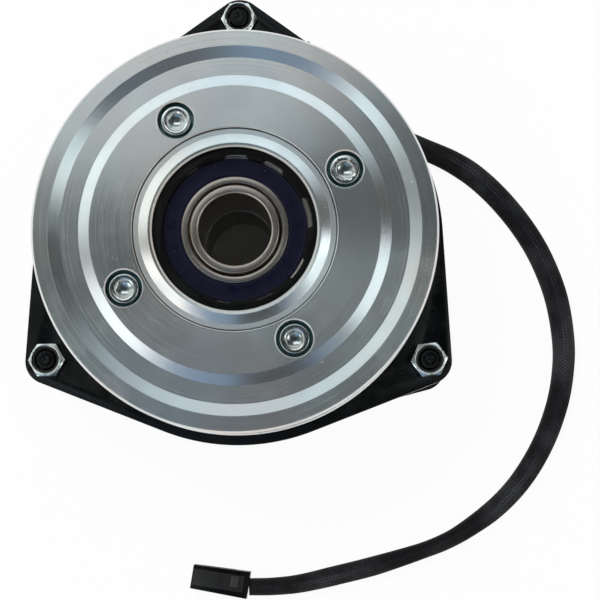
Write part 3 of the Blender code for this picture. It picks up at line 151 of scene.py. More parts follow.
# Camera: the photograph is taken from almost straight above
CAMERA_PLACE = (0.0357, -0.1102, 0.7200)
CAMERA_TILT = (6.5, 0.9, 0.0)
CAMERA_LENS = 99.7
CAMERA_SENSOR = 36.0

# Node settings that repeat: ramps with soft ends, and ramps that fall from 1 to 0
SOFT = {"interpolation_type": "SMOOTHSTEP"}
FALLING = {"To Min": 1.0, "To Max": 0.0}
WAVE_LENGTH = 0.314         # metres between the bands of a wave texture at scale 1


def linear(code):
    """An sRGB hex colour as linear red, green, blue and alpha."""
    parts = [int(code[i:i + 2], 16) / 255.0 for i in (1, 3, 5)]
    return [p / 12.92 if p <= 0.04045 else ((p + 0.055) / 1.055) ** 2.4 for p in parts] + [1.0]


def fill(tree, node, sockets):
    """Fill or link a node's sockets. A node given as a value stands for its first output."""
    for key, value in sockets.items():
        source = value.outputs[0] if isinstance(value, bpy.types.Node) else value
        if isinstance(source, bpy.types.NodeSocket):
            tree.links.new(source, node.inputs[key])
        else:
            node.inputs[key].default_value = source


def add(tree, kind, sockets=None, **settings):
    """Add a node, set it up, and fill or link its sockets. Returns the node."""
    node = tree.nodes.new(kind)
    for name, value in settings.items():
        setattr(node, name, value)
    fill(tree, node, sockets or {})
    return node


def start_finish(name, base, roughness, metallic=0.0, **sockets):
    """A material named for its finish. Returns it, its tree, its shader and the place on the object.

    The place is in metres, and the same in every pose.
    """
    finish = bpy.data.materials.new(name)
    finish.use_nodes = True
    finish.diffuse_color = linear(base)
    tree = finish.node_tree
    shader = tree.nodes["Principled BSDF"]
    fill(tree, shader, {"Base Color": linear(base), "Roughness": roughness, "Metallic": metallic})
    fill(tree, shader, {key.replace("_", " "): value for key, value in sockets.items()})
    return finish, tree, shader, add(tree, "ShaderNodeTexCoord").outputs["Object"]


def radius_of(tree, place):
    """Distance from the turning axis in metres."""
    centred = add(tree, "ShaderNodeVectorMath", {0: place, 1: AXIS}, operation="SUBTRACT")
    flat = add(tree, "ShaderNodeVectorMath", {0: centred, 1: (1, 1, 0)}, operation="MULTIPLY")
    return add(tree, "ShaderNodeVectorMath", {0: flat}, operation="LENGTH").outputs["Value"]


def layered(tree, colour, *coats):
    """A colour with others laid over it in turn, each as far as its share says."""
    for share, code in coats:
        # In a mix of colours, sockets 6 and 7 take the two colours and 2 gives the result
        colour = add(tree, "ShaderNodeMix", {"Factor": share, 6: colour, 7: linear(code)},
                     data_type="RGBA").outputs[2]
    return colour


def band(tree, value, middle, near, far):
    """One up to near from a middle value, fading to nothing at far from it."""
    offset = add(tree, "ShaderNodeMath", {0: value, 1: middle}, operation="SUBTRACT")
    away = add(tree, "ShaderNodeMath", {0: offset}, operation="ABSOLUTE")
    return add(tree, "ShaderNodeMapRange", {"Value": away, "From Min": near, "From Max": far,
                                            **FALLING}, **SOFT)


def spots(tree, place, size, start, end, low=0.0, high=1.0, detail=3.0, rough=0.5):
    """Spots of noise about size metres across: low where it is under start, high where over end."""
    noise = add(tree, "ShaderNodeTexNoise", {"Vector": place, "Scale": 1.0 / size, "Detail": detail,
                                             "Roughness": rough})
    return add(tree, "ShaderNodeMapRange", {"Value": noise, "From Min": start, "From Max": end,
                                            "To Min": low, "To Max": high}, **SOFT)


def pits(tree, place, size, depth, detail=3.0):
    """Relief of noise about size metres across and depth metres deep."""
    noise = add(tree, "ShaderNodeTexNoise", {"Vector": place, "Scale": 1.0 / size, "Detail": detail})
    return add(tree, "ShaderNodeBump", {"Height": noise, "Distance": depth, "Strength": 1.0})


def turned_steel(name, base, second, third, roughness, stretch, ring=0.0009, smudge=0.03, sunk=None):
    """Steel faced on a lathe: fine rings round the axis pull each highlight out along the radius.

    The real rings are 0.1 mm apart. They are drawn at ring metres, coarse enough to show. Its
    plating is faintly clouded in three tints, with rubs of the hand and a few scratches. With
    sunk, its colour is painted a dark teal grey in counterbores below that height, as painted
    shade and painted reflection of the metal round them, and it is duller on the nose ring.
    """
    finish, tree, shader, place = start_finish(name, base, roughness, 1.0, Anisotropic=stretch,
                                               Anisotropic_Rotation=0.25)
    radius = radius_of(tree, place)
    height = add(tree, "ShaderNodeSeparateXYZ", {0: place}).outputs["Z"]

    clouds = spots(tree, place, 0.028, 0.38, 0.62, detail=2.0)
    warmth = spots(tree, place, 0.045, 0.45, 0.65, 0.0, 0.8, 1.0)
    colour = layered(tree, linear(base), (clouds, second), (warmth, third))

    laid = add(tree, "ShaderNodeMath", {0: radius, 1: height}, operation="ADD")
    rings = add(tree, "ShaderNodeTexNoise", {"W": laid, "Scale": 1.0 / ring, "Detail": 1.0},
                noise_dimensions="1D")
    ringed = add(tree, "ShaderNodeMapRange", {"Value": rings, "From Min": 0.3, "From Max": 0.7,
                                              "To Min": roughness * 0.94,
                                              "To Max": roughness * 1.06}, **SOFT)
    handled = spots(tree, place, 0.012, 0.45, 0.75, 0.0, smudge, 4.0, 0.6)
    scratches = spots(tree, place, 0.0022, 0.70, 0.76, detail=4.0)
    patches = spots(tree, place, 0.030, 0.52, 0.66, 0.0, 0.22, 1.0)
    scuffs = add(tree, "ShaderNodeMath", {0: scratches, 1: patches}, operation="MULTIPLY")
    worn = add(tree, "ShaderNodeMath", {0: ringed, 1: handled}, operation="ADD")

    # Painted shade: in the counterbores below sunk the colour turns dark teal grey, standing in for the
    # shade and the reflected metal of the recess
    if sunk is not None:
        below = add(tree, "ShaderNodeMapRange", {"Value": height, "From Min": sunk - 0.0012,
                                                 "From Max": sunk, **FALLING}, **SOFT)
        above = add(tree, "ShaderNodeMapRange", {"Value": height, "From Min": sunk - 0.0090,
                                                 "From Max": sunk - 0.0080}, **SOFT)
        inside = add(tree, "ShaderNodeMapRange", {"Value": radius, "From Min": 0.0575,
                                                  "From Max": 0.0585, **FALLING}, **SOFT)
        deep = add(tree, "ShaderNodeMath", {0: below, 1: above}, operation="MULTIPLY")
        deep = add(tree, "ShaderNodeMath", {0: deep, 1: inside}, operation="MULTIPLY")
        colour = layered(tree, colour, (deep, "#5c7c7c"))
        inner = add(tree, "ShaderNodeMapRange", {"Value": radius, "From Min": 0.0375,
                                                 "From Max": 0.0379, "To Max": 0.11}, **SOFT)
        outer = add(tree, "ShaderNodeMapRange", {"Value": radius, "From Min": 0.0400,
                                                 "From Max": 0.0402, **FALLING}, **SOFT)
        nose = add(tree, "ShaderNodeMath", {0: inner, 1: outer}, operation="MULTIPLY")
        worn = add(tree, "ShaderNodeMath", {0: worn, 1: nose}, operation="ADD")

    fill(tree, shader, {
        "Base Color": colour,
        "Roughness": add(tree, "ShaderNodeMath", {0: worn, 1: scuffs}, operation="ADD"),
        "Normal": add(tree, "ShaderNodeBump", {"Height": rings, "Distance": 0.0000025,
                                               "Strength": 1.0}),
        "Tangent": add(tree, "ShaderNodeTangent", direction_type="RADIAL", axis="Z"),
    })
    return finish


def plated_steel(name, base, second, roughness, size=0.0012, depth=0.000012):
    """Pressed or rolled steel under a thin bright plating: slightly mottled, softly pitted."""
    finish, tree, shader, place = start_finish(name, base, roughness, 1.0)
    mottle = spots(tree, place, size * 5.0, 0.3, 0.7)
    fill(tree, shader, {
        "Base Color": layered(tree, linear(base), (mottle, second)),
        "Roughness": spots(tree, place, size, 0.3, 0.7, roughness * 0.75, roughness * 1.35, 5.0),
        "Normal": pits(tree, place, size, depth, 5.0),
    })
    return finish


def coated_steel(name, base, scuff, roughness, gloss=0.5, chips=0.68):
    """Steel under a black coat: a faint orange peel, dust, and a few pale chips and rubs."""
    finish, tree, shader, place = start_finish(name, base, roughness, Specular_IOR_Level=gloss)
    specks = spots(tree, place, 0.0016, chips, chips + 0.04, detail=1.0)
    rubs = spots(tree, place, 0.011, 0.55, 0.68, 0.0, 0.8, 4.0, 0.65)
    chipped = add(tree, "ShaderNodeMath", {0: specks, 1: rubs}, operation="MULTIPLY")
    fill(tree, shader, {
        "Base Color": layered(tree, linear(base), (chipped, scuff)),
        "Roughness": spots(tree, place, 0.011, 0.4, 0.75, roughness, roughness * 2.1, 4.0, 0.65),
        "Normal": pits(tree, place, 0.0022, 0.000018, 2.0),
    })
    return finish


def moulded(name, base, roughness, size=0.00045, depth=0.00002, gloss=0.5):
    """Moulded nylon or rubber with the fine matt grain of its mould."""
    finish, tree, shader, place = start_finish(name, base, roughness, Specular_IOR_Level=gloss)
    fill(tree, shader, {
        "Roughness": spots(tree, place, 0.006, 0.3, 0.7, roughness * 0.85, roughness * 1.25, 4.0),
        "Normal": pits(tree, place, size, depth, 2.0),
    })
    return finish


def nitrile_seal():
    """Black-blue nitrile rubber over a steel disc: satin, with a few specks of dust in its grease."""
    finish, tree, shader, place = start_finish("nitrile_rubber_moulded", "#0b0a1c", 0.34,
                                               Specular_IOR_Level=0.2)
    specks = spots(tree, place, 0.0009, 0.76, 0.78, detail=1.0)
    fill(tree, shader, {
        "Base Color": layered(tree, linear("#0a0820"), (specks, "#5c5f80")),
        "Roughness": spots(tree, place, 0.005, 0.3, 0.7, 0.26, 0.48, 4.0),
        "Normal": pits(tree, place, 0.0004, 0.00001),
    })
    return finish


def sewn_lines(tree, laid, place):
    """Stitches 1.3 mm apart along the sleeve's upper side, in two lines, as a share of pale thread."""
    across = add(tree, "ShaderNodeSeparateXYZ", {0: laid}).outputs["X"]
    lines = [band(tree, across, middle, 0.0001, 0.00028) for middle in (0.0066, 0.0073)]
    both = add(tree, "ShaderNodeMath", {0: lines[0], 1: lines[1]}, operation="MAXIMUM")
    wave = add(tree, "ShaderNodeTexWave", {"Vector": laid, "Scale": WAVE_LENGTH / 0.0013},
               wave_type="BANDS", bands_direction="Y").outputs["Fac"]
    stitches = add(tree, "ShaderNodeMapRange", {"Value": wave, "From Min": 0.3, "From Max": 0.6,
                                                "To Min": 0.1, "To Max": 0.8}, **SOFT)
    thread = add(tree, "ShaderNodeMath", {0: both, 1: stitches}, operation="MULTIPLY")
    rubbed = spots(tree, place, 0.030, 0.42, 0.66, 0.15, 1.0, 2.0)
    return add(tree, "ShaderNodeMath", {0: thread, 1: rubbed}, operation="MULTIPLY")


def woven_sleeve():
    """Braided polyester sleeve: matt black yarn in a herringbone, with two sewn lines of pale thread.

    The real yarns are 0.4 mm apart. They are drawn at 0.9 mm, coarse enough to show.
    """
    finish, tree, shader, place = start_finish("polyester_braided", "#121212", 0.9, Sheen_Weight=0.06,
                                               Sheen_Roughness=0.5, Specular_IOR_Level=0.08)
    laid = add(tree, "ShaderNodeUVMap", uv_map="yarn").outputs[0]
    yarns = []
    for lean in (38.0, -38.0):
        leaning = add(tree, "ShaderNodeMapping", {"Vector": laid,
                                                  "Rotation": (0.0, 0.0, math.radians(lean))})
        yarns.append(add(tree, "ShaderNodeTexWave", {"Vector": leaning, "Scale": WAVE_LENGTH / 0.0009,
                                                     "Distortion": 0.4, "Detail": 1.0},
                         wave_type="BANDS", bands_direction="X").outputs["Fac"])
    braid = add(tree, "ShaderNodeMath", {0: yarns[0], 1: yarns[1]}, operation="MAXIMUM")
    dust = spots(tree, place, 0.018, 0.35, 0.75, detail=4.0)
    dusty = add(tree, "ShaderNodeMath", {0: braid, 1: dust}, operation="MULTIPLY")
    worn = add(tree, "ShaderNodeMath", {0: dusty, 1: sewn_lines(tree, laid, place)}, operation="ADD")
    fill(tree, shader, {
        "Base Color": layered(tree, linear("#1a1a1c"), (worn, "#464649")),
        "Roughness": add(tree, "ShaderNodeMapRange", {"Value": braid, "From Min": 0.2, "From Max": 0.9,
                                                      "To Min": 0.92, "To Max": 0.72}, **SOFT),
        "Normal": add(tree, "ShaderNodeBump", {"Height": braid, "Distance": 0.00022,
                                               "Strength": 1.0}),
    })
    return finish


def friction_lining():
    """Moulded brake lining: dull brown-grey resin with pale fibre ends."""
    finish, tree, shader, place = start_finish("friction_lining_moulded", "#3a332c", 0.92)
    fibres = spots(tree, place, 0.0006, 0.58, 0.70)
    fill(tree, shader, {
        "Base Color": layered(tree, linear("#3a332c"), (fibres, "#8a7d6c")),
        "Normal": pits(tree, place, 0.0005, 0.00006),
    })
    return finish


def wound_copper():
    """Enamelled copper wire in close turns, drawn as ribs 0.6 mm apart."""
    finish, tree, shader, place = start_finish("copper_wire_enamelled", "#a85a32", 0.32, 1.0)
    ribs = add(tree, "ShaderNodeTexWave", {"Vector": place, "Scale": WAVE_LENGTH / 0.0006},
               wave_type="BANDS", bands_direction="Z").outputs["Fac"]
    fill(tree, shader, {
        "Base Color": layered(tree, linear("#6a3018"), (ribs, "#b5673c")),
        "Normal": add(tree, "ShaderNodeBump", {"Height": ribs, "Distance": 0.00015,
                                               "Strength": 1.0}),
    })
    return finish


FINISH = {
    # Pulley halves: bright and cool, each highlight drawn out along the radius
    "turned_zinc": turned_steel("zinc_plated_turned_steel", "#e6ecec", "#dfe3e5", "#e9e4e1", 0.225, 0.72,
                                sunk=0.0768),
    # Bearing rings and sleeve: ground fine, warm grey under a film of oil
    "bearing_steel": turned_steel("bearing_steel_ground", "#c2b8b0", "#b8afa8", "#bfb2a8", 0.22, 0.50,
                                  smudge=0.02),
    # Machined steel further in: duller, with coarser rings and more smudges
    "steel": turned_steel("mild_steel_machined", "#b4b2ae", "#aaa7a2", "#b0aca4", 0.33, 0.40,
                          ring=0.0011, smudge=0.06),
    # Screws and nuts: almost a mirror, very faintly pitted
    "zinc": plated_steel("zinc_plated_steel_bright", "#e6eae6", "#dde3e4", 0.14, depth=0.000006),
    # Studs: charcoal grey with a dull gleam
    "zinc_dark": plated_steel("steel_phosphated_dark", "#2e3030", "#202223", 0.27),
    # Springs and leaf springs: blue-grey wire with a soft shine
    "spring_steel": plated_steel("spring_steel_blued", "#55565a", "#3f4147", 0.30),
    # Retainer: deep black, satin where it catches the light
    "black_oxide": coated_steel("spring_steel_black_oxide", "#0a0a09", "#1e1d1b", 0.28, 0.12),
    # Field plate: black, dusty and rubbed in places
    "black_paint": coated_steel("steel_painted_black", "#0e0e0f", "#4a4a4c", 0.36, 0.3),
    # Brake plate: black with more gloss and few chips
    "gloss_black": coated_steel("steel_gloss_black_coat", "#08090a", "#8c8c90", 0.20, 0.24, 0.69),
    # Bearing seals: blue-black and soft in the light
    "seal": nitrile_seal(),
    # Nylon rings and panel: warm black, even and matt
    "moulding": moulded("nylon_black_moulded", "#13100f", 0.42),
    # Latch pad: greyed by touch
    "rubbed_moulding": moulded("nylon_black_rubbed", "#2e2d2d", 0.55),
    # Connector shell: black with a weak gloss
    "shell_moulding": moulded("nylon_black_polished", "#070707", 0.30, gloss=0.16),
    # Lead: charcoal yarn that swallows the light
    "woven": woven_sleeve(),
    # Brake pads and the rotor's ring: dull and speckled
    "friction": friction_lining(),
    # Winding: warm reddish ribs
    "copper": wound_copper(),
}


def smoothing():
    """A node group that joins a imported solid's facets and shades its round sides smooth."""
    group = bpy.data.node_groups.new("smooth_round_sides", "GeometryNodeTree")
    group.interface.new_socket("Geometry", in_out="INPUT", socket_type="NodeSocketGeometry")
    group.interface.new_socket("Geometry", in_out="OUTPUT", socket_type="NodeSocketGeometry")
    given = add(group, "NodeGroupInput")
    joined = add(group, "GeometryNodeMergeByDistance", {"Geometry": given, "Distance": 0.000002})
    bare = add(group, "GeometryNodeRemoveAttribute", {"Geometry": joined, "Name": "custom_normal"})
    angle = add(group, "GeometryNodeInputMeshEdgeAngle")
    creased = add(group, "FunctionNodeCompare", {0: angle, 1: math.radians(30.0)},
                  operation="GREATER_THAN", data_type="FLOAT")
    soft = add(group, "GeometryNodeSetShadeSmooth", {0: bare, "Shade Smooth": True}, domain="FACE")
    sharp = add(group, "GeometryNodeSetShadeSmooth", {0: soft, "Selection": creased,
                                                      "Shade Smooth": False}, domain="EDGE")
    add(group, "NodeGroupOutput", {0: sharp})
    return group


def link_piece(name, mesh, finish, sharp, place, turn):
    """An object on a mesh. With no place it belongs to the turning axis."""
    mesh.materials.clear()
    mesh.materials.append(finish)
    mesh.shade_smooth()
    mesh.set_sharp_from_angle(angle=math.radians(sharp))
    if place is None:
        mesh.transform(Matrix.Translation(AXIS))
        place = (0.0, 0.0, 0.0)
    piece = bpy.data.objects.new(name, mesh)
    bpy.context.scene.collection.objects.link(piece)
    piece.location = place
    piece.rotation_euler.z = math.radians(turn)
    return piece


def close_mesh(name, bm, finish, sharp=30.0, place=None, turn=0.0):
    """Turn a bmesh into a piece whose faces point out."""
    bmesh.ops.remove_doubles(bm, verts=bm.verts, dist=1e-7)
    bmesh.ops.recalc_face_normals(bm, faces=bm.faces)
    if bm.calc_volume(signed=True) < 0:
        bmesh.ops.reverse_faces(bm, faces=bm.faces)
    mesh = bpy.data.meshes.new(name)
    bm.to_mesh(mesh)
    bm.free()
    return link_piece(name, mesh, finish, sharp, place, turn)


def softened(outline, ease, least=20.0, steps=3):
    """The outline with each corner of more than least degrees rounded by ease metres."""
    points = []
    for i, corner in enumerate(outline):
        here = Vector(corner)
        back = Vector(outline[i - 1]) - here
        ahead = Vector(outline[(i + 1) % len(outline)]) - here
        bend = math.degrees((-back).angle(ahead))
        if here.x < 1e-6 or bend < least:
            points.append(here)
            continue
        reach = min(ease, 0.4 * back.length, 0.4 * ahead.length)
        start = here + back.normalized() * reach
        end = here + ahead.normalized() * reach
        for k in range(steps + 1):
            t = k / steps
            points.append(start * (1 - t) ** 2 + here * (2 * t * (1 - t)) + end * t ** 2)
    return points


def turned(name, outline, finish, steps=STEPS_MEDIUM, ease=0.0002, sharp=22.0, place=None, turn=0.0):
    """Turn a closed outline of (radius, height) points about the axis."""
    bm = bmesh.new()
    points = [bm.verts.new((r, 0.0, z)) for r, z in softened(outline, ease)]
    sides = [bm.edges.new((points[i - 1], points[i])) for i in range(len(points))]
    bmesh.ops.spin(bm, geom=points + sides, cent=(0, 0, 0), axis=(0, 0, 1), angle=math.tau,
                   steps=steps, use_merge=True)
    return close_mesh(name, bm, finish, sharp, place, turn)


def prism(name, outline, low, high, finish, place=None, turn=0.0):
    """Extrude a closed outline of (x, y) points from low to high."""
    bm = bmesh.new()
    base = bm.faces.new([bm.verts.new((x, y, low)) for x, y in outline])
    raised = bmesh.ops.extrude_face_region(bm, geom=[base])
    lifted = [item for item in raised["geom"] if isinstance(item, bmesh.types.BMVert)]
    bmesh.ops.translate(bm, verts=lifted, vec=(0, 0, high - low))
    return close_mesh(name, bm, finish, 30.0, place, turn)


def settle(piece, sharp=30.0):
    """Write a piece's modifiers into its mesh."""
    bpy.context.view_layer.update()
    graph = bpy.context.evaluated_depsgraph_get()
    mesh = bpy.data.meshes.new_from_object(piece.evaluated_get(graph))
    finish = piece.data.materials[0]
    piece.modifiers.clear()
    piece.data = mesh
    mesh.materials.clear()
    mesh.materials.append(finish)
    mesh.shade_smooth()
    mesh.set_sharp_from_angle(angle=math.radians(sharp))
    return piece


def carve(piece, cutters, operation="DIFFERENCE", sharp=30.0):
    """Cut a piece with other pieces, or join or cross it with them, and remove them."""
    for cutter in cutters:
        step = piece.modifiers.new(cutter.name, "BOOLEAN")
        step.operation = operation
        step.solver = "EXACT"
        step.object = cutter
    settle(piece, sharp)
    for cutter in cutters:
        bpy.data.objects.remove(cutter)
    return piece


def break_edges(piece, width, limit=40.0, segments=2, sharp=30.0):
    """Take the sharpness off a piece's edges."""
    step = piece.modifiers.new("broken_edges", "BEVEL")
    step.width = width
    step.segments = segments
    step.limit_method = "ANGLE"
    step.angle_limit = math.radians(limit)
    return settle(piece, sharp)


def polar(radius, angle, height=0.0):
    """A point at a radius and an angle about the turning axis, in the part's frame."""
    turn = math.radians(angle)
    return AXIS + Vector((radius * math.cos(turn), radius * math.sin(turn), height))


def arc(radius, start, end, steps, centre=(0.0, 0.0)):
    """Points along an arc, both ends included."""
    points = []
    for i in range(steps + 1):
        turn = math.radians(start + (end - start) * i / steps)
        points.append((centre[0] + radius * math.cos(turn), centre[1] + radius * math.sin(turn)))
    return points


def circle(radius, steps):
    """Points of a full circle."""
    return arc(radius, 0.0, 360.0, steps)[:-1]


def seat(piece, body, slot, *nodes):
    """Let a piece ride on a body, and let it stand for the solids given, which are hidden. The slot is not
    used.
    """
    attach(piece, body)
    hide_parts(*nodes)
    return piece


def rod(name, place, radius, low, high, finish, steps=STEPS_FASTENER):
    """An upright cylinder, used to cut a hole."""
    return prism(name, circle(radius, steps), low, high, finish, place)


def make_front_disc():
    """Front half of the pulley: two sloped bands, a flat between them, four counterbores."""
    zinc = FINISH["turned_zinc"]
    outline = [
        (0.0403, 0.069367), (0.0660, 0.069367), (CREST_EDGE, FRONT_RIM_LOW),
        (PULLEY_RADIUS, FRONT_RIM_LOW + 0.0005), (PULLEY_RADIUS, FACE_HEIGHT - 0.0008),
        (PULLEY_RADIUS - 0.0008, FACE_HEIGHT), (0.0733, FACE_HEIGHT), (0.0687, LOW_FACE),
        (0.0615, LOW_FACE), (0.0572, FACE_HEIGHT), (0.0406, FACE_HEIGHT),
        (0.0403, FACE_HEIGHT - 0.0003),
    ]
    disc = turned("turned_front_disc", outline, zinc, STEPS_LARGE, 0.00008, 5.0)
    bore = [(0.0, 0.067), (SCREW_HOLE_RADIUS, 0.067), (SCREW_HOLE_RADIUS, HEAD_LOW - CLEARANCE),
            (COUNTERBORE_RADIUS, HEAD_LOW - CLEARANCE), (COUNTERBORE_RADIUS, FACE_HEIGHT - 0.0005),
            (COUNTERBORE_RADIUS + 0.0015, FACE_HEIGHT + 0.0010), (0.0, FACE_HEIGHT + 0.0010)]
    cutters = [turned("counterbore_" + str(i), bore, zinc, STEPS_FASTENER, 0.0, 22.0,
                      polar(SCREW_CIRCLE, angle)) for i, angle in enumerate(SCREW_ANGLES)]
    carve(disc, cutters, sharp=5.0)
    seat(disc, "pulley", "turned_zinc", "pulley_front_disc")


def make_pulley_hub():
    """Hub and rear flange of the pulley in one, with the nose ring and the bearing housing."""
    zinc = FINISH["turned_zinc"]
    web = GROOVE_LOW - 0.0035
    outline = [
        (0.0290, HUB_BOSS_BOTTOM), (0.0500, HUB_BOSS_BOTTOM), (0.0500, web - 0.002), (0.0520, web),
        (0.0630, web), (0.0780, REAR_RIM_LOW), (PULLEY_RADIUS, REAR_RIM_LOW),
        (PULLEY_RADIUS, REAR_RIM_TOP - 0.0005), (CREST_EDGE, REAR_RIM_TOP),
        (GROOVE_BOTTOM, GROOVE_LOW), (GROOVE_BOTTOM, DISC_SEAT), (0.0399, DISC_SEAT),
        (0.0399, FACE_HEIGHT - 0.0007), (0.0396, FACE_HEIGHT - 0.0004), (0.0378, FACE_HEIGHT - 0.0004),
        (0.0340, NOSE_TOP), (0.0331, NOSE_TOP - 0.0001), (0.0324, NOSE_TOP - 0.0007), (0.0324, 0.0769),
        (0.0330, 0.0769), (0.0330, BEARING_TOP), (0.0313, BEARING_TOP),
        (0.0313, BEARING_LOW - CLEARANCE), (0.0290, BEARING_LOW - CLEARANCE),
    ]
    hub = turned("turned_pulley_hub", outline, zinc, STEPS_LARGE, 0.00008, 5.0)
    cutters = [rod("screw_hole_" + str(i), polar(SCREW_CIRCLE, angle), SCREW_HOLE_RADIUS, 0.058,
                   DISC_SEAT + CUT_PAST, zinc) for i, angle in enumerate(SCREW_ANGLES)]
    for i, middle in enumerate((30.0, 150.0, 270.0)):
        cutters.append(rod("rivet_relief_" + str(i), polar(RIVET_CIRCLE, middle - RIVET_OFFSET),
                           RIVET_HEAD_RADIUS, HUB_BOSS_BOTTOM - CUT_PAST, HUB_BOSS_BOTTOM + 0.0027, zinc))
        cutters.append(rod("rivet_hole_" + str(i), polar(RIVET_CIRCLE, middle + RIVET_OFFSET),
                           RIVET_HOLE_RADIUS, HUB_BOSS_BOTTOM - CUT_PAST, HUB_BOSS_BOTTOM + 0.0050, zinc))
    carve(hub, cutters, sharp=5.0)
    seat(hub, "pulley", "turned_zinc", "pulley_hub")


def race(name, face, sign, body):
    """One ring of the pulley bearing from its fitted face, its groove towards the balls.

    The inner ring, of sign 1, has a deep groove round its top, and the outer one a wide lip.
    """
    track = face + sign * RACE_WALL
    pitch = (RACE_INNER_FACE + RACE_OUTER_FACE) / 2
    middle = (BEARING_LOW + BEARING_TOP) / 2
    reach = abs(pitch - track)
    lean = math.acos(reach / BALL_ROOM)
    points = [(face, BEARING_LOW), (track, BEARING_LOW)]
    for i in range(9):
        turn = -lean + 2 * lean * i / 8
        points.append((pitch - sign * BALL_ROOM * math.cos(turn), middle + BALL_ROOM * math.sin(turn)))
    if sign > 0:
        points += [(track, BEARING_TOP), (face + 0.0009, BEARING_TOP),
                   (face + 0.0009, BEARING_TOP - 0.0040), (face, BEARING_TOP - 0.0044)]
    else:
        lip = face - 0.0016
        points += [(track, BEARING_TOP - 0.0016), (lip, BEARING_TOP - 0.0016), (lip, BEARING_TOP),
                   (face, BEARING_TOP)]
    ring = turned("ground_" + name, points, FINISH["bearing_steel"], STEPS_MEDIUM, 0.0002)
    seat(ring, body, "bearing_steel", "pulley_bearing_" + name)


def make_pulley_bearing():
    """Sealed bearing in the pulley's nose: two ground rings and a dished rubber seal each side."""
    race("inner_race", RACE_INNER_FACE, 1, "rotor")
    race("outer_race", RACE_OUTER_FACE, -1, "pulley")
    inner = 0.0212
    outer = 0.0285
    top = 0.0747
    seal = [(inner, 0.0735), (outer, 0.0735), (outer, top), (outer - 0.0007, top),
            (outer - 0.0010, top - 0.00025), (inner + 0.0016, top - 0.00025),
            (inner + 0.0013, top - 0.00005), (inner + 0.0006, top - 0.00005), (inner, top - 0.0003)]
    upper = turned("moulded_seal_upper", seal, FINISH["seal"], STEPS_MEDIUM, 0.0001)
    seat(upper, "pulley", "seal", "pulley_bearing_seal_upper")
    sleeve = [(BORE_RADIUS, SLEEVE_LOW), (0.0204875, SLEEVE_LOW), (0.0204875, SLEEVE_STEP),
              (SLEEVE_RADIUS, SLEEVE_STEP)]
    sleeve += arc(0.0004, 0.0, 90.0, 5, (SLEEVE_RADIUS - 0.0004, SLEEVE_TOP - 0.0004))
    sleeve += arc(0.0009, 90.0, 180.0, 8, (BORE_RADIUS + 0.0009, SLEEVE_TOP - 0.0009))
    seat(turned("ground_sleeve", sleeve, FINISH["bearing_steel"], STEPS_MEDIUM, 0.0001, 20.0),
         "rotor", "bearing_steel", "bearing_sleeve")


# Notches at the inner edge of the retainer: where each starts and ends, and how far out it goes
NOTCHES = ((0.0, 26.0, 0.0305), (49.0, 68.0, 0.0302), (80.0, 99.0, 0.0299), (119.0, 131.0, 0.0290),
           (254.0, 269.0, 0.0292), (285.0, 303.0, 0.0293), (317.0, 338.0, 0.0297))


def make_retainer():
    """Black spring ring over the bearing, notched at its inner edge."""
    black = FINISH["black_oxide"]
    points = []
    for i, (start, end, reach) in enumerate(NOTCHES):
        following = NOTCHES[(i + 1) % len(NOTCHES)][0] + (360.0 if i + 1 == len(NOTCHES) else 0.0)
        points += arc(reach, start + 2.5, end - 2.5, 12)
        points += arc(RETAINER_REACH, end, following, max(4, int((following - end) / 3.0)))
    ring = prism("scalloped_retainer", circle(RETAINER_RADIUS, STEPS_LARGE), RETAINER_LOW,
                 RETAINER_TOP, black)
    carve(ring, [prism("retainer_opening", points, 0.0740, 0.0780, black)])
    break_edges(ring, 0.00022)
    seat(ring, "pulley", "black_oxide", "bearing_retainer")


def make_cap_screws():
    """Socket head cap screws, sunk in their counterbores."""
    zinc = FINISH["zinc"]
    low = HEAD_LOW - 0.0115
    body = [(0.0, low), (0.0025, low), (0.0030, low + 0.0005), (0.0030, HEAD_LOW),
            (HEAD_RADIUS, HEAD_LOW), (HEAD_RADIUS, HEAD_TOP - 0.0004),
            (HEAD_RADIUS - 0.0003, HEAD_TOP), (0.0, HEAD_TOP)]
    corner = SOCKET_FLATS / math.sqrt(3)
    floor = HEAD_TOP - 0.0026
    for i, angle in enumerate(SCREW_ANGLES):
        place = polar(SCREW_CIRCLE, angle)
        turn = SCREW_TURNS[i]
        screw = turned("socket_screw_" + str(i + 1), body, zinc, STEPS_FASTENER, 0.00015, 25.0,
                       place, turn)
        hexagon = prism("socket", circle(corner, 6), floor, HEAD_TOP + CUT_PAST, zinc, place, turn)
        drilled = turned("socket_floor", [(0.0, floor - 0.0011), (corner * 0.86, floor + 0.0001),
                                          (corner * 0.86, floor + 0.0004), (0.0, floor + 0.0004)],
                         zinc, STEPS_FASTENER, 0.0, 25.0, place)
        mouth = turned("socket_mouth", [(0.0, HEAD_TOP - 0.0005), (corner - 0.0003, HEAD_TOP - 0.0005),
                                        (corner + 0.0007, HEAD_TOP + 0.0005), (0.0, HEAD_TOP + 0.0005)],
                       zinc, STEPS_FASTENER, 0.0, 25.0, place)
        carve(screw, [hexagon, drilled, mouth], sharp=25.0)
        break_edges(screw, 0.00008, 30.0, 1, 25.0)
        seat(screw, "pulley", "zinc", "cap_screw_" + str(i + 1))


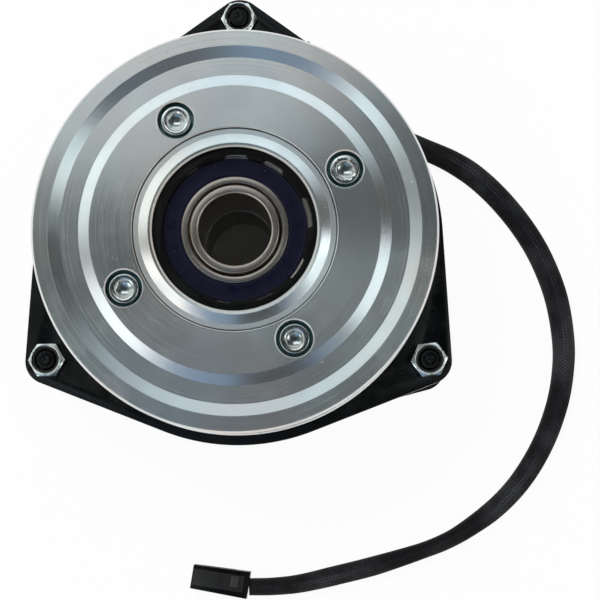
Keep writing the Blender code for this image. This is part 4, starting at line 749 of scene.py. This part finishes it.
def make_nuts():
    """Lock nuts on the studs: chamfered hexagon, round collar crimped over a nylon ring."""
    zinc = FINISH["zinc"]
    corner = NUT_FLATS / math.sqrt(3)
    bore = STUD_RADIUS + CLEARANCE
    insert = bore + 0.0011
    pocket = insert + CLEARANCE
    over = NUT_TOP + CUT_PAST
    edge = NUT_TOP - 0.0005
    chamfered = [(0.0, NUT_LOW), (0.0067, NUT_LOW), (0.0077, NUT_LOW + 0.0006),
                 (0.0077, NUT_HEX_TOP - 0.0007), (0.0064, NUT_HEX_TOP), (0.0, NUT_HEX_TOP)]
    collar = [(0.0, NUT_HEX_TOP - 0.001), (COLLAR_RADIUS, NUT_HEX_TOP - 0.001), (0.0063, NUT_TOP - 0.0006)]
    collar += arc(0.0005, 0.0, 90.0, 6, (0.0058, edge)) + [(0.0, NUT_TOP)]
    throat = [(0.0, NUT_TOP - 0.0009), (0.0054, NUT_TOP - 0.0009)]
    throat += arc(0.0005, 180.0, 90.0, 6, (0.0059, edge))
    throat += [(0.0059, NUT_TOP + 0.0005), (0.0, NUT_TOP + 0.0005)]
    hole = [(0.0, NUT_LOW - CUT_PAST), (bore, NUT_LOW - CUT_PAST), (bore, NUT_HEX_TOP - CLEARANCE),
            (pocket, NUT_HEX_TOP - CLEARANCE), (pocket, over), (0.0, over)]
    ring = [(bore, NUT_HEX_TOP), (insert, NUT_HEX_TOP), (insert, NUT_TOP - 0.0006),
            (bore + 0.0005, NUT_TOP - 0.0008), (bore, NUT_TOP - 0.0012)]
    end = NUT_TOP + 0.0004
    stud = [(0.0, CLEARANCE), (STUD_RADIUS, CLEARANCE), (STUD_RADIUS, 0.0035), (COLLAR_RADIUS, 0.0035),
            (COLLAR_RADIUS, 0.0065), (STUD_RADIUS, 0.0065), (STUD_RADIUS, end - 0.0009),
            (STUD_RADIUS - 0.0009, end), (0.0014, end), (0.0, end - 0.0007)]
    for i, angle in enumerate(STUD_ANGLES):
        label = str(i + 1)
        place = polar(STUD_CIRCLE, angle)
        turn = NUT_TURNS[i]
        nut = prism("hexagon_nut_" + label, circle(corner, 6), NUT_LOW, NUT_HEX_TOP, zinc, place, turn)
        carve(nut, [turned("nut_chamfer", chamfered, zinc, STEPS_FASTENER, 0.0, 25.0, place)], "INTERSECT")
        carve(nut, [turned("nut_crown", collar, zinc, STEPS_FASTENER, 0.0, 40.0, place)], "UNION")
        cutters = [turned("nut_bore", hole, zinc, STEPS_FASTENER, 0.0, 25.0, place),
                   turned("nut_throat", throat, zinc, STEPS_FASTENER, 0.0, 40.0, place)]
        for k in range(6):
            lean = math.radians(turn + 60.0 * (k + 0.5))
            spot = place + Vector((0.0066 * math.cos(lean), 0.0066 * math.sin(lean), 0.0))
            cutters.append(rod("nut_notch_" + str(k), spot, 0.0006, NUT_TOP - 0.0008, over, zinc, 12))
        carve(nut, cutters)
        break_edges(nut, 0.00012, 40.0, 2, 40.0)
        seat(nut, "field", "zinc", "lock_nut_" + label)
        seat(turned("nylon_ring_" + label, ring, FINISH["moulding"], STEPS_FASTENER, 0.0001, 25.0, place),
             "field", "moulding", "nylon_insert_" + label)
        seat(turned("threaded_stud_" + label, stud, FINISH["zinc_dark"], STEPS_FASTENER, 0.00015, 25.0,
                    place), "field", "zinc_dark", "brake_stud_" + label)
        seat(coil_spring("coil_spring_" + label, place, SPRING_LOW, SPRING_TOP), "field",
             "spring_steel", "brake_spring_" + label)


def tube(name, centres, sides, radius, finish, place):
    """A closed tube along centres."""
    bm = bmesh.new()
    rings = []
    count = len(centres)
    for i, centre in enumerate(centres):
        along = (centres[min(i + 1, count - 1)] - centres[max(i - 1, 0)]).normalized()
        side = along.cross(Vector((0, 0, 1))).normalized()
        over = side.cross(along)
        rings.append([bm.verts.new(centre + radius * (side * math.cos(math.tau * k / sides)
                                                      + over * math.sin(math.tau * k / sides)))
                      for k in range(sides)])
    for first, second in zip(rings, rings[1:]):
        for k in range(sides):
            after = (k + 1) % sides
            bm.faces.new((first[k], first[after], second[after], second[k]))
    bm.faces.new(rings[0])
    bm.faces.new(rings[-1])
    return close_mesh(name, bm, finish, 60.0, place)


def coil_spring(name, place, low, high, turns=6, steps=28):
    """Round wire wound round a stud, its first half turn lying flat."""
    mean = STUD_RADIUS + CLEARANCE + 2 * SPRING_WIRE
    count = turns * steps
    rise = high - low - 2 * SPRING_WIRE
    centres = []
    for i in range(count + 1):
        turn = math.tau * i / steps
        share = min(max((i - steps / 2) / (count - steps), 0.0), 1.0)
        centres.append(Vector((mean * math.cos(turn), mean * math.sin(turn),
                               low + SPRING_WIRE + rise * share)))
    return tube(name, centres, 10, SPRING_WIRE, FINISH["spring_steel"], place)


def eared_outline(radius):
    """A round plate with an ear at each stud, its flanks tangent to both circles."""
    lean = math.degrees(math.acos((radius - EAR_RADIUS) / STUD_CIRCLE))
    points = []
    for i, angle in enumerate(STUD_ANGLES):
        tip = polar(STUD_CIRCLE, angle) - AXIS
        points += arc(EAR_RADIUS, angle - lean, angle + lean, 28, (tip.x, tip.y))
        following = STUD_ANGLES[(i + 1) % len(STUD_ANGLES)]
        span = (following - angle) % 360.0 - 2 * lean
        if span > 1.0:
            points += arc(radius, angle + lean, angle + lean + span, 60)
    return points


def make_plates():
    """Brake plate under the pulley, and the field plate that the clutch stands on."""
    gloss = FINISH["gloss_black"]
    plate = prism("eared_brake_plate", eared_outline(BRAKE_PLATE_RADIUS), BRAKE_PLATE_LOW,
                  BRAKE_PLATE_TOP, gloss)
    cutters = [rod("stud_hole_" + str(i), polar(STUD_CIRCLE, angle), STUD_RADIUS + CLEARANCE,
                   BRAKE_PLATE_LOW - CUT_PAST, BRAKE_PLATE_TOP + CUT_PAST, gloss)
               for i, angle in enumerate(STUD_ANGLES)]
    cutters.append(rod("shaft_hole", None, BRAKE_PLATE_HOLE, BRAKE_PLATE_LOW - CUT_PAST,
                       BRAKE_PLATE_TOP + CUT_PAST, gloss, STEPS_MEDIUM))
    carve(plate, cutters)
    break_edges(plate, 0.00045, 45.0, 3)
    seat(plate, "field", "gloss_black", "brake_plate")

    paint = FINISH["black_paint"]
    low = -CUT_PAST
    high = PLATE_THICKNESS + CUT_PAST
    base = prism("eared_field_plate", eared_outline(FIELD_PLATE_RADIUS), 0.0, PLATE_THICKNESS, paint)
    tab_outline = arc(0.1015, 70.0, 82.0, 24) + arc(0.0690, 82.0, 70.0, 24)
    tab = prism("tab", tab_outline, 0.0, PLATE_THICKNESS, paint)
    rounding = prism("tab_rounding", circle(0.0165, STEPS_MEDIUM), low, high, paint, polar(0.0850, 78.5))
    carve(tab, [rounding], "INTERSECT")
    carve(base, [tab], "UNION")
    slot = arc(0.0040, 90.0, 270.0, 20, (0.0930, 0.0)) + [(0.1055, -0.0040), (0.1055, 0.0040)]
    cutters = [prism("tab_slot", slot, low, high, paint, AXIS, 76.0),
               rod("shaft_hole", None, FIELD_PLATE_HOLE, low, high, paint, STEPS_MEDIUM)]
    cutters += [rod("stud_hole_" + str(i), polar(STUD_CIRCLE, angle), STUD_RADIUS + CLEARANCE, low,
                    high, paint) for i, angle in enumerate(STUD_ANGLES)]
    carve(base, cutters)
    break_edges(base, 0.0004, 45.0, 3)
    seat(base, "field", "black_paint", "field_plate")


def smooth_route(per_stretch=9):
    """The lead's centreline as close points on a smooth curve through its route."""
    knots = [Vector(point) + AXIS for point in LEAD_ROUTE]
    ends = [2 * knots[0] - knots[1]] + knots + [2 * knots[-1] - knots[-2]]
    points = []
    for i in range(1, len(ends) - 2):
        before, start, end, after = ends[i - 1:i + 3]
        for k in range(per_stretch):
            t = k / per_stretch
            slope_in = (end - before) / 2
            slope_out = (after - start) / 2
            points.append((2 * t ** 3 - 3 * t ** 2 + 1) * start + (t ** 3 - 2 * t ** 2 + t) * slope_in
                          + (3 * t ** 2 - 2 * t ** 3) * end + (t ** 3 - t ** 2) * slope_out)
    points.append(knots[-1])
    return points


def between(table, share):
    """Read a value at a share of the way from a table of (share, value) rows."""
    for (low, first), (high, second) in zip(table, table[1:]):
        if share <= high:
            return first + (second - first) * max(0.0, share - low) / (high - low)
    return table[-1][1]


# Half width of the sleeve along the lead: it lies flat over its two wires, and turns on edge at
# its end
LEAD_HALF_WIDTHS = ((0.0, 0.0038), (0.08, 0.0042), (0.17, 0.0051), (0.38, 0.0050), (0.47, 0.0047),
                    (0.61, 0.0046), (0.68, 0.0043), (0.735, 0.0036), (0.775, 0.0034), (0.84, 0.0041),
                    (0.90, 0.0041), (0.95, 0.0038), (1.0, 0.0036))


def make_lead():
    """Flat braided sleeve over two wires, with a sewn seam along its upper side."""
    centres = smooth_route()
    around = 44
    bm = bmesh.new()
    yarn = bm.loops.layers.uv.new("yarn")
    rings = []
    walked = [0.0]
    for first, second in zip(centres, centres[1:]):
        walked.append(walked[-1] + (second - first).length)
    total = walked[-1]
    for i, centre in enumerate(centres):
        along = (centres[min(i + 1, len(centres) - 1)] - centres[max(i - 1, 0)]).normalized()
        side = along.cross(Vector((0, 0, 1))).normalized()
        over = side.cross(along)
        wide = between(LEAD_HALF_WIDTHS, walked[i] / total)
        tall = min(LEAD_HALF_HEIGHT, LEAD_SECTION / wide + 0.0002)
        ring = []
        for k in range(around):
            lean = math.tau * k / around
            x = wide * math.copysign(abs(math.cos(lean)) ** 0.72, math.cos(lean))
            z = tall * math.copysign(abs(math.sin(lean)) ** 0.72, math.sin(lean))
            if z > 0:
                # A shallow trough and beside it a narrow ridge: the sewn seam
                z -= 0.00045 * math.exp(-((x - 0.0012) / 0.0011) ** 2)
                z += 0.00030 * math.exp(-((x + 0.0004) / 0.00045) ** 2)
            ring.append(bm.verts.new(centre + side * x + over * (z + tall - 0.0040)))
        rings.append(ring)
    for i, (first, second) in enumerate(zip(rings, rings[1:])):
        for k in range(around):
            after = (k + 1) % around
            face = bm.faces.new((first[k], first[after], second[after], second[k]))
            ends = ((k, i), (k + 1, i), (k + 1, i + 1), (k, i + 1))
            for loop, (turn, step) in zip(face.loops, ends):
                loop[yarn].uv = (LEAD_GIRTH * turn / around, walked[step])
    bm.faces.new(rings[0])
    bm.faces.new(rings[-1])
    lead = close_mesh("braided_lead", bm, FINISH["woven"], 60.0, (0, 0, 0))
    seat(lead, "field", "woven", "lead_sleeve")
    return lead, centres


def box_piece(name, low, high, finish, place, turn):
    """A box from its lowest to its highest corner, in the connector's own frame."""
    outline = [(low[0], low[1]), (high[0], low[1]), (high[0], high[1]), (low[0], high[1])]
    return prism(name, outline, low[2], high[2], finish, place, turn)


def make_connector():
    """Two-way connector housing: shell that tapers to its mouth, raised panel, small latch pad."""
    black = FINISH["shell_moulding"]
    heading = math.radians(CONNECTOR_HEADING)
    along = Vector((math.cos(heading), math.sin(heading), 0.0))
    end = Vector(LEAD_ROUTE[-1]) + AXIS
    centre = end + along * (CLEARANCE + CONNECTOR_LENGTH / 2) + Vector((0.0001, 0.0007, 0.0))
    place = (centre.x, centre.y, 0.0)
    half = CONNECTOR_LENGTH / 2
    wide = CONNECTOR_WIDTH / 2
    tall = CONNECTOR_HEIGHT
    hollows = (
        ("mouth", (half - 0.0140, -wide + 0.0016, 0.0013), (half + 0.002, wide - 0.0016, tall - 0.0018)),
        ("side_slot_right", (-0.0060, -wide - 0.001, 0.0030), (0.0080, -wide + 0.0005, 0.0062)),
        ("side_slot_left", (-0.0060, wide - 0.0005, 0.0030), (0.0080, wide + 0.001, 0.0062)),
    )
    outline = [(-half, -wide - 0.0002), (half, -wide + 0.0005), (half, wide - 0.0005),
               (-half, wide + 0.0002)]
    housing = prism("connector_shell", outline, 0.0, tall - 0.0007, black, place, CONNECTOR_HEADING)
    for name, low, high in hollows:
        carve(housing, [box_piece(name, low, high, black, place, CONNECTOR_HEADING)])
    break_edges(housing, 0.00035, 40.0, 3)
    seat(housing, "field", "moulding", "connector_housing")
    laid_on = (
        ("connector_panel", (-half + 0.0022, -0.0036, tall - 0.0012),
         (half - 0.0005, 0.0034, tall - 0.0003), "moulding"),
        ("latch_pad", (-half + 0.0044, -0.0030, tall - 0.0010),
         (-half + 0.0078, 0.0016, tall + 0.0008), "rubbed_moulding"),
    )
    pieces = [housing]
    for name, low, high, finish in laid_on:
        piece = box_piece(name, low, high, FINISH[finish], place, CONNECTOR_HEADING)
        break_edges(piece, 0.0003, 40.0, 3)
        pieces.append(seat(piece, "field", "moulding", "connector_housing"))
    return pieces


def dress_nodes():
    """Give every solid that stays its real finish, and smooth its round sides."""
    group = smoothing()
    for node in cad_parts.values():
        slot_name = node.material_slots[0].material.name.split(".")[0]
        node.material_slots[0].material = FINISH[slot_name]
        step = node.modifiers.new("smooth_round_sides", "NODES")
        step.node_group = group


# Floor under the clutch, a hair below the lowest solid
FLOOR_RADIUS = 7.0
FLOOR_HEIGHT = -0.0002

# The lamp that lays the soft shadow
KEY_PLACE = (-0.9, 1.1, 1.9)
KEY_SIZE = 1.4
KEY_POWER = 26.0

# The room's own light overhead, half way down and at the horizon
ZENITH = "#2f3535"
ROOM = "#c0bab0"
HORIZON = "#ffffff"

# Soft panels on the studio's ceiling: centre, half sizes and softness as slopes (distance over
# height, towards +X and +Y), then their colour and how many times brighter than white they are
PANELS = (
    ((-0.14, 0.30), (0.18, 0.05), 0.04, "#fafeff", 1.8),
    ((0.16, 0.89), (0.58, 0.34), 0.19, "#e2f5ff", 1.20),
    ((-1.19, 0.61), (0.81, 0.48), 0.20, "#f4fffe", 1.03),
    ((-1.03, -0.19), (0.41, 0.16), 0.09, "#fdffff", 1.57),
    ((-0.45, -0.18), (0.09, 0.11), 0.11, "#f2fffe", 3.4),
    ((-0.71, -0.98), (0.19, 0.56), 0.07, "#fff9f3", 1.95),
    ((0.38, -0.04), (0.06, 0.12), 0.04, "#f0feff", 3.6),
    ((0.77, 0.06), (0.09, 0.09), 0.04, "#f3fbff", 4.0),
    ((0.67, -0.52), (0.06, 0.52), 0.05, "#f4fbff", 3.2),
    ((-0.26, -0.50), (0.22, 0.42), 0.06, "#aad2ff", 0.38),
    ((0.10, -0.24), (0.24, 0.07), 0.06, "#d8e8f4", 0.24),
    ((0.31, -0.34), (0.07, 0.08), 0.05, "#8fc0ff", 0.45),
)


def make_floor():
    """Pale floor: white to the eye and to reflections, and it keeps a soft shadow.

    Inside the footprint of the clutch, which the bore shows, it is paper in the dark, without the white.
    There its colour is painted darker and warmer than elsewhere: painted shade with painted warm light
    from the metal.
    """
    bm = bmesh.new()
    bmesh.ops.create_circle(bm, cap_ends=True, radius=FLOOR_RADIUS, segments=96)
    mesh = bpy.data.meshes.new("floor")
    bm.to_mesh(mesh)
    bm.free()
    floor = bpy.data.objects.new("floor", mesh)
    bpy.context.scene.collection.objects.link(floor)
    floor.location = (0.0, 0.0, FLOOR_HEIGHT)
    finish = bpy.data.materials.new("floor_pale_paper")
    finish.use_nodes = True
    tree = finish.node_tree
    tree.nodes.clear()
    radius = radius_of(tree, add(tree, "ShaderNodeTexCoord").outputs["Object"])
    # Painted shade: under the bore the paper is painted a darker, warmer colour, standing in for shade and
    # warm light off the metal
    outside_painted_bore_shade = add(tree, "ShaderNodeMapRange", {"Value": radius, "From Min": 0.020,
                                              "From Max": 0.028}, **SOFT)
    lit = add(tree, "ShaderNodeMapRange", {"Value": radius, "From Min": 0.030, "From Max": 0.060,
                                           "To Max": 0.95}, **SOFT)
    paper_with_painted_shade = layered(tree, linear("#d9d5c8"), (outside_painted_bore_shade, "#f3f4f4"))
    paper = add(tree, "ShaderNodeBsdfDiffuse", {"Color": paper_with_painted_shade})
    white = add(tree, "ShaderNodeEmission", {"Color": linear("#ffffff"), "Strength": 1.0})
    ray = add(tree, "ShaderNodeLightPath").outputs
    seen = add(tree, "ShaderNodeMath", {0: ray["Is Camera Ray"], 1: ray["Is Glossy Ray"]},
               operation="MAXIMUM")
    seen = add(tree, "ShaderNodeMath", {0: seen, 1: ray["Is Transmission Ray"]}, operation="MAXIMUM")
    share = add(tree, "ShaderNodeMath", {0: seen, 1: lit}, operation="MULTIPLY")
    both = add(tree, "ShaderNodeMixShader", {0: share, 1: paper, 2: white})
    add(tree, "ShaderNodeOutputMaterial", {0: both})
    mesh.materials.append(finish)


def make_studio():
    """The dome of a light room: white all round, darker overhead, lit by soft panels."""
    world = bpy.data.worlds.new("light_room")
    bpy.context.scene.world = world
    world.use_nodes = True
    tree = world.node_tree
    tree.nodes.clear()
    towards = add(tree, "ShaderNodeTexCoord").outputs["Generated"]
    split = add(tree, "ShaderNodeSeparateXYZ", {0: towards}).outputs
    up = add(tree, "ShaderNodeMath", {0: split["Z"], 1: 0.03}, operation="MAXIMUM")
    slopes = [add(tree, "ShaderNodeMath", {0: split[axis], 1: up}, operation="DIVIDE")
              for axis in ("X", "Y")]
    overhead = add(tree, "ShaderNodeMapRange", {"Value": split["Z"], "From Min": 0.30,
                                                "From Max": 0.95}, **SOFT)
    wall = add(tree, "ShaderNodeMapRange", {"Value": split["Z"], "From Min": 0.05, "From Max": 0.24,
                                            **FALLING}, **SOFT)
    light = layered(tree, linear(ROOM), (overhead, ZENITH), (wall, HORIZON))
    for centre, half, soft, code, level in PANELS:
        masks = [band(tree, slope, middle, reach - soft, reach + soft)
                 for slope, middle, reach in zip(slopes, centre, half)]
        mask = add(tree, "ShaderNodeMath", {0: masks[0], 1: masks[1]}, operation="MULTIPLY")
        lamp_colour = [part * level for part in linear(code)[:3]]
        shine = add(tree, "ShaderNodeVectorMath", {0: lamp_colour, "Scale": mask}, operation="SCALE")
        light = add(tree, "ShaderNodeVectorMath", {0: light, 1: shine}, operation="ADD").outputs[0]
    seen = add(tree, "ShaderNodeLightPath").outputs["Is Camera Ray"]
    shown = layered(tree, light, (seen, "#ffffff"))
    sky = add(tree, "ShaderNodeBackground", {"Color": shown, "Strength": 1.0})
    add(tree, "ShaderNodeOutputWorld", {0: sky})

    key = bpy.data.lights.new("key", "AREA")
    key.shape = "DISK"
    key.size = KEY_SIZE
    key.energy = KEY_POWER
    lamp = bpy.data.objects.new("key", key)
    bpy.context.scene.collection.objects.link(lamp)
    lamp.location = KEY_PLACE
    lamp.rotation_mode = "QUATERNION"
    lamp.rotation_quaternion = lamp.location.to_track_quat("Z", "Y")
    lamp.visible_glossy = False


def make_camera():
    """The camera of the photograph."""
    lens = bpy.data.cameras.new("camera")
    lens.lens = CAMERA_LENS
    lens.sensor_width = CAMERA_SENSOR
    camera = bpy.data.objects.new("camera", lens)
    bpy.context.scene.collection.objects.link(camera)
    camera.location = CAMERA_PLACE
    camera.rotation_euler = [math.radians(angle) for angle in CAMERA_TILT]
    bpy.context.scene.camera = camera
    bpy.context.scene.view_settings.view_transform = "Standard"


make_camera()
make_studio()
make_floor()
lead, lead_path = make_lead()
connector_pieces = make_connector()
make_front_disc()
make_pulley_hub()
make_pulley_bearing()
make_retainer()
make_cap_screws()
make_nuts()
make_plates()
dress_nodes()
